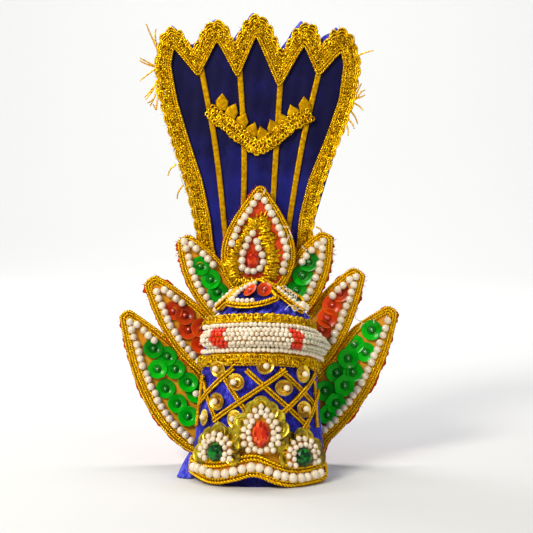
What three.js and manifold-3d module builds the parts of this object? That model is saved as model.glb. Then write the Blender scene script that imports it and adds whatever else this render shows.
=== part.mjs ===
// A small festival crown, in millimetres, +Z up, front towards -Y, standing on its rim at z = 0.
// Its pieces are laid out round the middle of the cap's rim.
// A hollow velvet cap carries a brow band, rosettes, a braid lattice and a bead roll.
// Behind it seven jewelled petals and a tall five-pointed fan lean back a little.
import * as THREE from 'three';
import { mergeVertices } from 'three/addons/utils/BufferGeometryUtils.js';
import Module from 'manifold-3d';

const wasm = await Module();
wasm.setup();

const radians = THREE.MathUtils.degToRad;
const lerp = THREE.MathUtils.lerp;

// Clearances and general thicknesses
const GAP = 0.3;
const CLOTH = 2;
const TRIM = 1.4;
const TUBE_SIDES = 8;
const TUBE_STEP = 2.2;
const ROUND_SIDES = 32;
const WELD = 1e-4;

// The cap leans back, and its rings tilt up at the front, fully so from the roll upwards
const CAP_LEAN = Math.tan(radians(7));
const RING_TILT = Math.tan(radians(12));
const ROLL_HEIGHT = 53.7;
const WALL_TOP = 61;
const CAP_SECTIONS = [
  { height: 0, radius: 28.4 },
  { height: 9, radius: 27.3 },
  { height: 22, radius: 25.6 },
  { height: 40, radius: 24 },
  { height: 56, radius: 22.8 },
  { height: WALL_TOP, radius: 22.2 },
];
const DOME_SECTIONS = [
  { height: WALL_TOP + GAP, radius: 22.2 },
  { height: 64, radius: 21.2 },
  { height: 68, radius: 18.4 },
  { height: 72, radius: 14 },
  { height: 76, radius: 8.6 },
  { height: 79, radius: 3.6 },
  { height: 80.4, radius: 0 },
];
const CAP_OUTLINE = [...CAP_SECTIONS, ...DOME_SECTIONS];

// Roll of beads round the front: proud of the wall and above its own middle, right round its section
const ROLL_FROM = -62;
const ROLL_TO = 84;
const ROLL_DROP = 2.6;
const ROLL_STEPS = 18;
const ROLL_END = 0.45;
const ROLL_END_SLOPE = 7;
const ROLL_SECTION = [
  { proud: 0.3, rise: -6 },
  { proud: 2.1, rise: -6.2 },
  { proud: 3, rise: -5.3 },
  { proud: 3.6, rise: -3.9 },
  { proud: 5.6, rise: -3 },
  { proud: 6.8, rise: -1.2 },
  { proud: 6.8, rise: 1.2 },
  { proud: 5.6, rise: 3 },
  { proud: 3.6, rise: 3.9 },
  { proud: 3, rise: 5.3 },
  { proud: 2.1, rise: 6.2 },
  { proud: 0.3, rise: 6 },
];
const ROLL_BRAIDS = [
  { name: 'roll_braid_top', rise: 8, width: 2.6, from: -76, to: 80 },
  { name: 'roll_braid_bottom', rise: -8.5, width: 3.6, from: -86, to: 88 },
];

// Crossed braid strips on the front of the cap, each from one end to the other
const LATTICE_WIDTH = 1.9;
const LATTICE_THICK = 1;
const LATTICE_STEPS = 5;
const LATTICE_STRIPS = [
  { fromAz: -12, fromHeight: 41.8, toAz: 50, toHeight: 20 },
  { fromAz: 20, fromHeight: 42, toAz: 66, toHeight: 27 },
  { fromAz: 26, fromHeight: 42, toAz: -44, toHeight: 23 },
  { fromAz: 67, fromHeight: 41, toAz: 14, toHeight: 24 },
  { fromAz: -24, fromHeight: 42.6, toAz: -66, toHeight: 30 },
  { fromAz: -34, fromHeight: 39, toAz: -8, toHeight: 25 },
  { fromAz: -70, fromHeight: 40, toAz: -38, toHeight: 21.5 },
  { fromAz: 72, fromHeight: 34, toAz: 42, toHeight: 20 },
  { fromAz: -66, fromHeight: 40, toAz: -72, toHeight: 20 },
  { fromAz: 66, fromHeight: 38, toAz: 64, toHeight: 20 },
];

// Wavy brow band: its lower and upper edge round the front
const BROW_THICK = 2.2;
const BROW_BRAID = 0.9;
const BROW_BRAID_THICK = 1;
const BROW_PEARL = 2.5;
const BROW_PEARL_INSET = 8.5;
const BROW_END_INSET = 2;
const BROW_SQUARENESS = 0.3;
const BROW_STEPS = 18;
const BROW_EDGES = [
  { az: -66, low: 2.6, high: 8.5 },
  { az: -56, low: 2.1, high: 8.3 },
  { az: -37, low: 1.2, high: 8 },
  { az: -20, low: 2.8, high: 9.6 },
  { az: -3, low: 5.8, high: 12.2 },
  { az: 13, low: 2.6, high: 8.4 },
  { az: 27, low: 0.6, high: 5.9 },
  { az: 42, low: 0.3, high: 5.5 },
  { az: 52, low: 0.3, high: 5.7 },
  { az: 61, low: 0.5, high: 6.6 },
];

// Jewelled rosettes above the band: place on the cap, half sizes of the stone, cut above the band
const ROSETTE_LIFT = 1.7;
const ROSETTE_THICK = 1.2;
const ROSETTE_DISC = 3.3;
const SMALL_PEARL = 2.2;
const RING_START = 1.6;
const RING_PITCH = 2;
const RING_STEPS = 14;
const BED_REACH = 0.6;
const DISC_REACH = 0.4;
const DISC_SPREAD = 0.1;
const STONE_HEIGHT = 3;
const STONE_SIDES = 10;
const ROSETTES = [
  { name: 'centre', az: 1.5, height: 18.9, stoneX: 3.4, stoneY: 5.2, floor: -6.2, discs: 9 },
  { name: 'left', az: -38, height: 12, stoneX: 3.2, stoneY: 3.6, floor: -2.8, discs: 7 },
  { name: 'right', az: 37, height: 10, stoneX: 3.2, stoneY: 3.7, floor: -3.2, discs: 7 },
];

// Small petals on the dome
const DOME_PETAL_HALF = 27.5;
const DOME_PETAL_TIP = 4;
const DOME_PETAL_POINT = 0.6;
const DOME_PETAL_LOW = 64.4;
const DOME_PETAL_HIGH = 77.6;
const DOME_PETAL_SAG = 0.6;
const DOME_PETAL_THICK = 1.3;
const DOME_PETAL_RIM = 1.1;
const DOME_PETAL_COLUMNS = 6;
const DOME_PETAL_ROWS = 4;
const DOME_PETALS = [
  { name: 'dome_petal_left', az: -76 },
  { name: 'dome_petal_front', az: -11 },
  { name: 'dome_petal_right', az: 54 },
];

// Loose corner of the hem at the lower left
const FLAP_FROM = -69;
const FLAP_TO = -92;
const FLAP_HEIGHT = 9;
const FLAP_FLARE = 5;
const FLAP_THICK = 1.5;
const FLAP_FULLNESS = 0.7;
const FLAP_COLUMNS = 6;

// The fan's front face leans back; petals and fan are laid out on it as x and distance up it
const FAN_LEAN = radians(5);
const FAN_FRONT = 26.3;
const FAN_THICK = 2.4;
const FAN_SIDES = [
  { height: 36, leftX: -10, rightX: 10, leftInner: -4, rightInner: 4 },
  { height: 75, leftX: -21, rightX: 18, leftInner: -15, rightInner: 12 },
  { height: 92, leftX: -26, rightX: 22.2, leftInner: -19.6, rightInner: 16 },
  { height: 105, leftX: -28.5, rightX: 23.6, leftInner: -21.2, rightInner: 17.2 },
  { height: 121, leftX: -32.2, rightX: 28, leftInner: -24.6, rightInner: 21.2 },
  { height: 140, leftX: -38.6, rightX: 35.5, leftInner: -30.8, rightInner: 28.8 },
  { height: 156, leftX: -43.1, rightX: 41.3, leftInner: -35.6, rightInner: 34.4 },
  { height: 171, leftX: -45.4, rightX: 43.6, leftInner: -38.3, rightInner: 36.4 },
];
const FAN_TOP = [
  { x: -38.8, height: 187.3, innerX: -37, innerHeight: 177.3 },
  { x: -28.8, height: 177.7, innerX: -27.5, innerHeight: 168.1 },
  { x: -18.4, height: 190.7, innerX: -18.4, innerHeight: 180.7 },
  { x: -11, height: 180.3, innerX: -10.1, innerHeight: 167.7 },
  { x: -1, height: 192.9, innerX: -1.5, innerHeight: 182.5 },
  { x: 9.8, height: 176, innerX: 8.5, innerHeight: 163.4 },
  { x: 20.8, height: 189.4, innerX: 19.3, innerHeight: 178.6 },
  { x: 27, height: 179, innerX: 24.5, innerHeight: 167.7 },
  { x: 36.7, height: 186.8, innerX: 35.4, innerHeight: 176 },
];
const POINT_FULLNESS = 1.6;
const SHOULDER = 0.68;
const BRAID_FOOT = 90;
const RIB_WIDTH = 2.2;
const RIB_THICK = 0.8;
const RIB_FOOT = 92;
const RIB_STEPS = 6;
const FAN_RIBS = [
  { topX: -25.6, topHeight: 167, midX: -19.2, midHeight: 135, footX: -14 },
  { topX: -8.9, topHeight: 166.8, midX: -6.9, midHeight: 134, footX: -7.6 },
  { topX: 9, topHeight: 162.4, midX: 7, midHeight: 134, footX: 4.4 },
  { topX: 25.6, topHeight: 166.4, midX: 18.4, midHeight: 135, footX: 11 },
];
const SWAG_WIDTH = 5.6;
const SWAG_PATH = [
  { x: -22, height: 151 },
  { x: -14, height: 145 },
  { x: -6, height: 139 },
  { x: -0.6, height: 135.4 },
  { x: 6, height: 139 },
  { x: 14, height: 145.4 },
  { x: 22.6, height: 149.6 },
];
const SWAG_STEPS = 16;
const SWAG_LEAVES = 9;
const LEAF_LENGTH = 5.6;
const LEAF_WIDTH = 4.2;
const LEAF_SUNK = 0.8;
const LEAF_BELLY = 0.4;

// Petals: root and tip on the fan's face, half widths, how the sides taper and bulge,
// how far the middle of the panel stands in front of the fan,
// and how far the outer side of the lowest two runs on below the root, with its place across there
const PETAL_THICK = 2;
const PETAL_SHINGLE = radians(12);
const PETAL_ROUND = 1.6;
const PETAL_BRAID = 3;
const PETAL_PEARL = 2.7;
const PEARL_INSET = 4.8;
const PEARL_TURN = 2.2;
const PETAL_STEPS = 8;
const BULGE_SKEW = 0.8;
const PETALS = [
  { name: 'petal_centre', side: 0, rootX: -1, root: 72.8, tipX: 0.5, tip: 116.8, lift: 7.3,
    rootHalf: 9, tipHalf: 2.5, taper: 2, bulge: 8, outerFrom: 0.3, innerTo: 0.26, steep: 0.6 },
  { name: 'petal_left_upper', side: -1, rootX: -14.3, root: 66, tipX: -32.4, tip: 95, lift: 4.8,
    rootHalf: 8.2, tipHalf: 3.6, taper: 3, bulge: 1.6, outerFrom: 0.05, innerTo: 0.62 },
  { name: 'petal_right_upper', side: 1, rootX: 15, root: 67.6, tipX: 28.7, tip: 96.5, lift: 4.8,
    rootHalf: 7.4, tipHalf: 3.6, taper: 3, bulge: 1.6, outerFrom: 0.05, innerTo: 0.62 },
  { name: 'petal_left_middle', side: -1, rootX: -20.4, root: 44.9, tipX: -46.6, tip: 77.2, lift: 4.4,
    rootHalf: 9.2, tipHalf: 3.8, taper: 2, bulge: 2, outerFrom: 0.06, innerTo: 0.66 },
  { name: 'petal_right_middle', side: 1, rootX: 20.6, root: 44.4, tipX: 42.3, tip: 80.8, lift: 4.4,
    rootHalf: 8.2, tipHalf: 3.8, taper: 2, bulge: 2, outerFrom: 0.06, innerTo: 0.66 },
  { name: 'petal_left_lower', side: -1, rootX: -25.2, root: 13.6, tipX: -57.4, tip: 63, lift: 4.2,
    rootHalf: 11.4, tipHalf: 3.2, taper: 2, bulge: 3.6, outerFrom: 0.04, innerTo: 0.77,
    heel: 6.5, heelHalf: 6.8 },
  { name: 'petal_right_lower', side: 1, rootX: 23.1, root: 13.4, tipX: 56.8, tip: 64.6, lift: 4.2,
    rootHalf: 8.4, tipHalf: 3.2, taper: 2.6, bulge: 1.8, outerFrom: 0.04, innerTo: 0.86,
    heel: 6.6, heelHalf: 10 },
];

// Rows of sequins on the six side petals: first along from the root, pitch back, place across
const SEQUIN_THICK = 1;
const SEQUIN_SIDES = 8;
const SEQUINS = [
  { petal: 'petal_left_upper', first: 17.8, pitch: 6, count: 3, across: -1, radius: 3.4 },
  { petal: 'petal_right_upper', first: 16.2, pitch: 6, count: 3, across: -1.2, radius: 3.4 },
  { petal: 'petal_left_middle', first: 24.2, pitch: 5.8, count: 4, across: -1.2, radius: 3.2 },
  { petal: 'petal_right_middle', first: 24.6, pitch: 5.6, count: 4, across: -1.4, radius: 3.2 },
  { petal: 'petal_left_lower', first: 38.6, pitch: 1, count: 1, across: -0.8, radius: 3.6 },
  { petal: 'petal_left_lower', first: 35.4, pitch: 7, count: 4, across: -4, radius: 3.9 },
  { petal: 'petal_left_lower', first: 32.4, pitch: 7, count: 4, across: 2.2, radius: 3.9 },
  { petal: 'petal_right_lower', first: 41.4, pitch: 1, count: 1, across: -0.6, radius: 3.2 },
  { petal: 'petal_right_lower', first: 36, pitch: 7, count: 4, across: -2, radius: 3.4 },
  { petal: 'petal_right_lower', first: 32.5, pitch: 7, count: 4, across: -0.4, radius: 3.2 },
];

// Inner work of the middle petal: a purl arch, and a drop of pearls round one stone
const PURL_INSET = 9;
const PURL_WIDTH = 2.2;
const PURL_ASIDE = -0.7;
const PURL_FOOT = 0.06;
const PURL_TOP = 0.72;
const PURL_TURN = 1.6;
const DROP_ASIDE = -1.2;
const DROP_FOOT = 7.4;
const DROP_TOP = 24;
const DROP_HALF = 3.5;
const DROP_BELLY = 0.34;
const DROP_POINT = 0.75;
const DROP_SPAN = 0.96;
const DROP_STEPS = 16;
const DROP_STONE = { along: 13.2, halfX: 1.9, halfY: 3 };

const FINISH = {
  velvet: { color: 0x1f43c4, roughness: 0.95, metalness: 0 },
  satinBlue: { color: 0x1c2f8c, roughness: 0.5, metalness: 0 },
  satinGold: { color: 0xe0b23c, roughness: 0.5, metalness: 0.1 },
  braid: { color: 0xd8a024, roughness: 0.35, metalness: 0.8 },
  pearl: { color: 0xf1e7da, roughness: 0.25, metalness: 0 },
  green: { color: 0x0c8f4b, roughness: 0.2, metalness: 0 },
  red: { color: 0xd9441c, roughness: 0.2, metalness: 0 },
};

const crown = new THREE.Group();

function piece(name, geometry, finish, parent = crown) {
  const mesh = new THREE.Mesh(geometry, new THREE.MeshStandardMaterial(FINISH[finish]));
  mesh.name = name;
  parent.add(mesh);
  return mesh;
}

// Turns a closed surface the right way out by the sign of the volume that it holds
function outward(geometry) {
  const place = geometry.attributes.position;
  const corners = [new THREE.Vector3(), new THREE.Vector3(), new THREE.Vector3()];
  const index = geometry.index.array;
  let volume = 0;
  for (let i = 0; i < index.length; i += 3) {
    corners.forEach((corner, k) => corner.fromBufferAttribute(place, index[i + k]));
    volume += corners[0].dot(corners[1].clone().cross(corners[2]));
  }
  if (volume < 0) {
    for (let i = 0; i < index.length; i += 3) {
      [index[i], index[i + 1]] = [index[i + 1], index[i]];
    }
  }
  return geometry;
}

// A solid through a row of closed sections, each a list of as many points
function sweep(sections, closed = false) {
  const count = sections[0].length;
  const rows = sections.length;
  const points = sections.flat();
  const index = [];
  const spans = closed ? rows : rows - 1;
  for (let i = 0; i < spans; i++) {
    const near = i * count;
    const far = ((i + 1) % rows) * count;
    for (let k = 0; k < count; k++) {
      const next = (k + 1) % count;
      index.push(near + k, near + next, far + next, near + k, far + next, far + k);
    }
  }
  const end = (row, turned) => {
    const middle = points.length;
    const ring = sections[row];
    points.push(ring.reduce((sum, p) => sum.add(p), new THREE.Vector3()).divideScalar(count));
    for (let k = 0; k < count; k++) {
      const a = row * count + k;
      const b = row * count + ((k + 1) % count);
      index.push(middle, turned ? b : a, turned ? a : b);
    }
  };
  if (!closed) {
    end(0, true);
    end(rows - 1, false);
  }
  const geometry = new THREE.BufferGeometry().setFromPoints(points);
  geometry.setIndex(index);
  return outward(geometry);
}

// A flat strip carried along a path, standing on a surface whose normals are given
function ribbon(path, normals, width, thickness, lift = GAP, closed = false) {
  const last = path.length - 1;
  const sections = path.map((point, i) => {
    const before = path[closed ? (i + last) % path.length : Math.max(i - 1, 0)];
    const after = path[closed ? (i + 1) % path.length : Math.min(i + 1, last)];
    const along = after.clone().sub(before).normalize();
    const across = along.cross(normals[i]).normalize();
    const corner = (side, height) => point.clone()
      .addScaledVector(across, side * width / 2)
      .addScaledVector(normals[i], lift + height);
    return [corner(-1, 0), corner(1, 0), corner(1, thickness), corner(-1, thickness)];
  });
  return sweep(sections, closed);
}

function polygon(sides, radiusX, radiusY = radiusX) {
  return Array.from({ length: sides }, (_, k) => {
    const turn = (k + 0.5) / sides * 2 * Math.PI;
    return new THREE.Vector2(radiusX * Math.cos(turn), radiusY * Math.sin(turn));
  });
}

function plate(outline, thickness, lift = 0) {
  const geometry = new THREE.ExtrudeGeometry(new THREE.Shape(outline), {
    depth: thickness,
    bevelEnabled: false,
  });
  return geometry.translate(0, 0, lift);
}

// A string of beads as a plain tube, with a step every two to three diameters
function tube(points, diameter) {
  const path = new THREE.CatmullRomCurve3(points);
  const steps = Math.max(4, Math.round(path.getLength() / (TUBE_STEP * diameter)));
  const section = new THREE.Shape(polygon(TUBE_SIDES, diameter / 2));
  return new THREE.ExtrudeGeometry(section, { extrudePath: path, steps, bevelEnabled: false });
}

// A cut stone: flat back, girdle, sloping facets and a table
function gem(halfX, halfY, height, lift) {
  const levels = [
    { up: 0, size: 0.82 },
    { up: 0.35, size: 1 },
    { up: 0.5, size: 1 },
    { up: 1, size: 0.6 },
  ];
  return sweep(levels.map((level) => polygon(STONE_SIDES, halfX * level.size, halfY * level.size)
    .map((p) => new THREE.Vector3(p.x, p.y, lift + height * level.up))));
}

function toSolid(geometry) {
  const bare = geometry.clone();
  bare.deleteAttribute('normal');
  bare.deleteAttribute('uv');
  const merged = mergeVertices(bare, WELD);
  return new wasm.Manifold(new wasm.Mesh({
    numProp: 3,
    vertProperties: new Float32Array(merged.attributes.position.array),
    triVerts: new Uint32Array(merged.index.array),
  }));
}

function fromSolid(solid) {
  const mesh = solid.getMesh();
  const geometry = new THREE.BufferGeometry();
  geometry.setAttribute('position', new THREE.BufferAttribute(mesh.vertProperties, 3));
  geometry.setIndex(new THREE.BufferAttribute(mesh.triVerts, 1));
  return geometry;
}

function fuse(geometries) {
  return fromSolid(geometries.map(toSolid).reduce((sum, solid) => sum.add(solid)));
}

// Straight reading between the rows of a table
function readRow(rows, key, column, at) {
  const next = Math.min(Math.max(rows.findIndex((row) => row[key] >= at), 1), rows.length - 1);
  const to = at > rows[rows.length - 1][key] ? rows.length - 1 : next;
  const a = rows[to - 1];
  const b = rows[to];
  return lerp(a[column], b[column], (at - a[key]) / (b[key] - a[key]));
}

// A point of the cap's round at an azimuth (0 at the front), height and radius
function sectionPoint(az, height, radius) {
  const turn = radians(az);
  const tilt = RING_TILT * Math.min(1, height / ROLL_HEIGHT);
  return new THREE.Vector3(
    radius * Math.sin(turn),
    CAP_LEAN * height - radius * Math.cos(turn),
    height + tilt * radius * Math.cos(turn),
  );
}

function capPoint(az, height, proud = 0) {
  return sectionPoint(az, height, readRow(CAP_OUTLINE, 'height', 'radius', height) + proud);
}

// A frame standing on the cap: x round it, y up it, z out of it
function capFrame(az, height) {
  const step = 0.5;
  const x = capPoint(az + step, height).sub(capPoint(az - step, height)).normalize();
  const up = capPoint(az, height + step).sub(capPoint(az, height - step));
  const z = x.clone().cross(up).normalize();
  const frame = new THREE.Group();
  frame.applyMatrix4(new THREE.Matrix4().makeBasis(x, z.clone().cross(x), z));
  frame.position.copy(capPoint(az, height));
  return frame;
}

function capNormal(az, height) {
  return new THREE.Vector3(0, 0, 1).applyQuaternion(capFrame(az, height).quaternion);
}

// A profile turned round the cap's leaning axis
function turned(profile, sides) {
  const outline = profile.map((row) => new THREE.Vector2(row.radius, row.height));
  const geometry = new THREE.LatheGeometry(outline, sides);
  const place = geometry.attributes.position;
  for (let i = 0; i < place.count; i++) {
    const radius = Math.hypot(place.getX(i), place.getZ(i));
    const az = THREE.MathUtils.radToDeg(Math.atan2(place.getX(i), place.getZ(i)));
    const point = sectionPoint(az, place.getY(i), radius);
    place.setXYZ(i, point.x, point.y, point.z);
  }
  geometry.deleteAttribute('normal');
  geometry.deleteAttribute('uv');
  return outward(mergeVertices(geometry, WELD));
}

function buildCap() {
  const inner = (rows) => rows.map((row) => ({ height: row.height, radius: row.radius - CLOTH }));
  const wall = [...CAP_SECTIONS, ...inner(CAP_SECTIONS).reverse(), CAP_SECTIONS[0]];
  piece('cap_wall', turned(wall, ROUND_SIDES), 'velvet');
  const under = inner(DOME_SECTIONS).filter((row) => row.radius > CLOTH);
  const peak = { height: under[under.length - 1].height + CLOTH, radius: 0 };
  piece('cap_dome', turned([...DOME_SECTIONS].reverse().concat(under, peak), ROUND_SIDES), 'velvet');
}

function buildFlap() {
  const sections = Array.from({ length: FLAP_COLUMNS + 1 }, (_, i) => {
    const along = i / FLAP_COLUMNS;
    const az = lerp(FLAP_FROM, FLAP_TO, along);
    const flare = FLAP_FLARE * Math.sin(Math.PI * along) ** FLAP_FULLNESS;
    const corner = (height, out) => capPoint(az, height, GAP + out);
    return [
      corner(GAP, flare),
      corner(FLAP_HEIGHT, 0),
      corner(FLAP_HEIGHT, FLAP_THICK),
      corner(GAP, flare + FLAP_THICK),
    ];
  });
  piece('hem_flap', sweep(sections), 'velvet');
}

// The roll sits a little lower towards the right
const rollHeight = (az) => ROLL_HEIGHT - ROLL_DROP * Math.max(0, az / ROLL_TO) ** 2;

function buildRoll() {
  const sections = Array.from({ length: ROLL_STEPS + 1 }, (_, i) => {
    const along = i / ROLL_STEPS;
    const az = lerp(ROLL_FROM, ROLL_TO, along);
    const size = Math.min(1, ROLL_END + ROLL_END_SLOPE * Math.min(along, 1 - along));
    return ROLL_SECTION.map((p) => capPoint(
      az,
      rollHeight(az) + p.rise * size,
      GAP + (p.proud - GAP) * size,
    ));
  });
  piece('bead_roll', sweep(sections), 'pearl');
  for (const braid of ROLL_BRAIDS) {
    const shares = Array.from({ length: ROLL_STEPS + 1 }, (_, i) => i / ROLL_STEPS);
    const places = shares.map((share) => lerp(braid.from, braid.to, share));
    const path = places.map((az) => capPoint(az, rollHeight(az) + braid.rise));
    const normals = places.map((az) => capNormal(az, rollHeight(az) + braid.rise));
    piece(braid.name, ribbon(path, normals, braid.width, TRIM), 'braid');
  }
}

function buildLattice() {
  const strips = LATTICE_STRIPS.map((strip) => {
    const places = Array.from({ length: LATTICE_STEPS + 1 }, (_, i) => ({
      az: lerp(strip.fromAz, strip.toAz, i / LATTICE_STEPS),
      height: lerp(strip.fromHeight, strip.toHeight, i / LATTICE_STEPS),
    }));
    const path = places.map((p) => capPoint(p.az, p.height));
    const normals = places.map((p) => capNormal(p.az, p.height));
    return ribbon(path, normals, LATTICE_WIDTH, LATTICE_THICK);
  });
  piece('lattice_braid', fuse(strips), 'braid');
}

function buildBrow() {
  const first = BROW_EDGES[0].az;
  const last = BROW_EDGES[BROW_EDGES.length - 1].az;
  const low = (az) => readRow(BROW_EDGES, 'az', 'low', az);
  const high = (az) => readRow(BROW_EDGES, 'az', 'high', az);
  const front = GAP + BROW_THICK;
  const sections = Array.from({ length: BROW_STEPS + 1 }, (_, i) => {
    const az = lerp(first, last, i / BROW_STEPS);
    const corner = (height, proud) => capPoint(az, height, proud);
    return [corner(low(az), GAP), corner(high(az), GAP), corner(high(az), front), corner(low(az), front)];
  });
  piece('brow_band', sweep(sections), 'satinGold');

  const turns = 2 * BROW_STEPS;
  const loop = Array.from({ length: turns }, (_, i) => {
    const turn = (i + 0.5) / turns * 2 * Math.PI;
    const az = (first + last) / 2 + ((last - first) / 2 - BROW_END_INSET) * Math.cos(turn);
    const half = (high(az) - low(az) - BROW_BRAID) / 2;
    const swing = Math.sign(Math.sin(turn)) * Math.abs(Math.sin(turn)) ** BROW_SQUARENESS;
    return { az, height: (high(az) + low(az)) / 2 + half * swing };
  });
  const path = loop.map((p) => capPoint(p.az, p.height, front));
  const normals = loop.map((p) => capNormal(p.az, p.height));
  piece('brow_braid', ribbon(path, normals, BROW_BRAID, BROW_BRAID_THICK, GAP, true), 'braid');

  const pearls = Array.from({ length: BROW_STEPS + 1 }, (_, i) => {
    const az = lerp(first + BROW_PEARL_INSET, last - BROW_PEARL_INSET, i / BROW_STEPS);
    return capPoint(az, (low(az) + high(az)) / 2, front + GAP + BROW_PEARL / 2);
  });
  piece('brow_pearls', tube(pearls, BROW_PEARL), 'pearl');
}

function buildRosette(rosette) {
  const frame = capFrame(rosette.az, rosette.height);
  crown.add(frame);
  const ring = { x: rosette.stoneX + RING_START, y: rosette.stoneY + RING_START };
  const reach = { x: ring.x + RING_PITCH, y: ring.y + RING_PITCH };
  const discs = Array.from({ length: rosette.discs }, (_, i) => {
    const turn = lerp(-DISC_SPREAD, 1 + DISC_SPREAD, i / (rosette.discs - 1)) * Math.PI;
    const x = (reach.x + DISC_REACH) * Math.cos(turn);
    const y = (reach.y + DISC_REACH) * Math.sin(turn);
    return plate(polygon(TUBE_SIDES, ROSETTE_DISC), ROSETTE_THICK, ROSETTE_LIFT).translate(x, y, 0);
  });
  const bedOutline = polygon(2 * TUBE_SIDES, reach.x + BED_REACH, reach.y + BED_REACH);
  const bed = plate(bedOutline, ROSETTE_THICK, ROSETTE_LIFT);
  const cutSize = 4 * reach.y;
  const cut = new THREE.BoxGeometry(cutSize, cutSize, cutSize).translate(0, rosette.floor - cutSize / 2, 0);
  const sequins = fromSolid(toSolid(fuse([bed, ...discs])).subtract(toSolid(cut)));
  piece(`rosette_${rosette.name}_sequins`, sequins, 'braid', frame);

  const top = ROSETTE_LIFT + ROSETTE_THICK + GAP;
  const arc = (grow) => {
    const x = ring.x + grow;
    const y = ring.y + grow;
    const start = Math.asin(Math.max((rosette.floor + SMALL_PEARL / 2 + GAP) / y, -0.7));
    return tube(Array.from({ length: RING_STEPS + 1 }, (_, i) => {
      const turn = lerp(start, Math.PI - start, i / RING_STEPS);
      return new THREE.Vector3(x * Math.cos(turn), y * Math.sin(turn), top + SMALL_PEARL / 2);
    }), SMALL_PEARL);
  };
  piece(`rosette_${rosette.name}_pearls`, fuse([arc(0), arc(RING_PITCH)]), 'pearl', frame);
  const stone = gem(rosette.stoneX, rosette.stoneY, STONE_HEIGHT, top);
  piece(`rosette_${rosette.name}_stone`, stone, rosette.name === 'centre' ? 'red' : 'green', frame);
}

function buildDomePetal(petal) {
  const sections = Array.from({ length: DOME_PETAL_ROWS + 1 }, (_, j) => {
    const up = j / DOME_PETAL_ROWS;
    const half = DOME_PETAL_HALF * (1 - up) ** DOME_PETAL_POINT + DOME_PETAL_TIP;
    const face = (out) => Array.from({ length: DOME_PETAL_COLUMNS + 1 }, (_, i) => {
      const across = 2 * i / DOME_PETAL_COLUMNS - 1;
      const edge = Math.abs(across) === 1 || up === 0 || up === 1;
      const sag = DOME_PETAL_SAG * (1 - across * across) * (1 - up);
      const height = lerp(DOME_PETAL_LOW, DOME_PETAL_HIGH, up) - sag;
      const thick = DOME_PETAL_THICK + (edge ? DOME_PETAL_RIM : 0);
      return capPoint(petal.az + half * across, height, GAP + out * thick);
    });
    return [...face(0), ...face(1).reverse()];
  });
  piece(petal.name, sweep(sections), 'braid');
}

// Half the petal's width at a share of the way from root to tip
function halfWidth(petal, share) {
  const taper = lerp(petal.rootHalf, petal.tipHalf, share ** petal.taper);
  return taper + petal.bulge * Math.sin(Math.PI * share ** BULGE_SKEW);
}

const petalLength = (petal) => Math.hypot(petal.tipX - petal.rootX, petal.tip - petal.root);

// One edge of a petal from root to tip, pulled in across it, up to where it would meet the other edge
function petalEdge(petal, inset, from = 0, to = 1, slack = 0.5) {
  const length = petalLength(petal);
  const shares = Array.from({ length: PETAL_STEPS + 1 }, (_, i) => lerp(from, to, i / PETAL_STEPS));
  const points = shares.map((share) => new THREE.Vector2(halfWidth(petal, share) - inset, share * length));
  return points.filter((p) => p.x > slack);
}

const mirrored = (points) => points.map((p) => new THREE.Vector2(-p.x, p.y)).reverse();

function petalOutline(petal) {
  const edge = petalEdge(petal, 0);
  const tip = edge[edge.length - 1];
  const round = [0.25, 0.5, 0.75].map((share) => {
    const turn = share * Math.PI;
    return new THREE.Vector2(tip.x * Math.cos(turn), tip.y + PETAL_ROUND * Math.sin(turn));
  });
  const outline = [...edge, ...round, ...mirrored(edge)];
  if (petal.heel === undefined) return outline;
  const heel = new THREE.Vector2(petal.side * petal.heelHalf, -petal.heel);
  return petal.side > 0 ? [heel, ...outline] : [...outline, heel];
}

function buildPetal(petal, board) {
  const frame = new THREE.Group();
  const heading = Math.atan2(petal.rootX - petal.tipX, petal.tip - petal.root);
  frame.position.set(petal.rootX, petal.root, petal.lift);
  frame.rotation.order = 'ZYX';
  frame.rotation.set(0, -petal.side * PETAL_SHINGLE, heading);
  board.add(frame);

  const face = PETAL_THICK / 2;
  const outline = petalOutline(petal);
  piece(`${petal.name}_panel`, plate(outline, PETAL_THICK, -face), 'satinGold', frame);

  const inner = petalEdge(petal, PETAL_BRAID);
  const band = [...outline, ...mirrored(inner).reverse(), ...[...inner].reverse()];
  piece(`${petal.name}_braid`, plate(band, TRIM, face + GAP), 'braid', frame);

  const outer = petal.side || -1;
  const inset = PEARL_INSET + (petal.steep ?? 0);
  const height = face + GAP + PETAL_PEARL / 2;
  const line = (side, from) => petalEdge(petal, inset, from, 1, PEARL_TURN)
    .map((p) => new THREE.Vector3(side * p.x, p.y, height));
  const string = [...line(outer, petal.outerFrom), ...line(-outer, petal.innerTo).reverse()];
  piece(`${petal.name}_pearls`, tube(string, PETAL_PEARL), 'pearl', frame);

  const discs = SEQUINS.filter((row) => row.petal === petal.name).flatMap((row) => Array.from(
    { length: row.count },
    (_, i) => plate(polygon(SEQUIN_SIDES, row.radius), SEQUIN_THICK, face + GAP)
      .translate(petal.side * row.across, row.first - i * row.pitch, 0),
  ));
  if (discs.length > 0) {
    piece(`${petal.name}_sequins`, fuse(discs), petal.name.endsWith('middle') ? 'red' : 'green', frame);
  }
  return frame;
}

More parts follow.
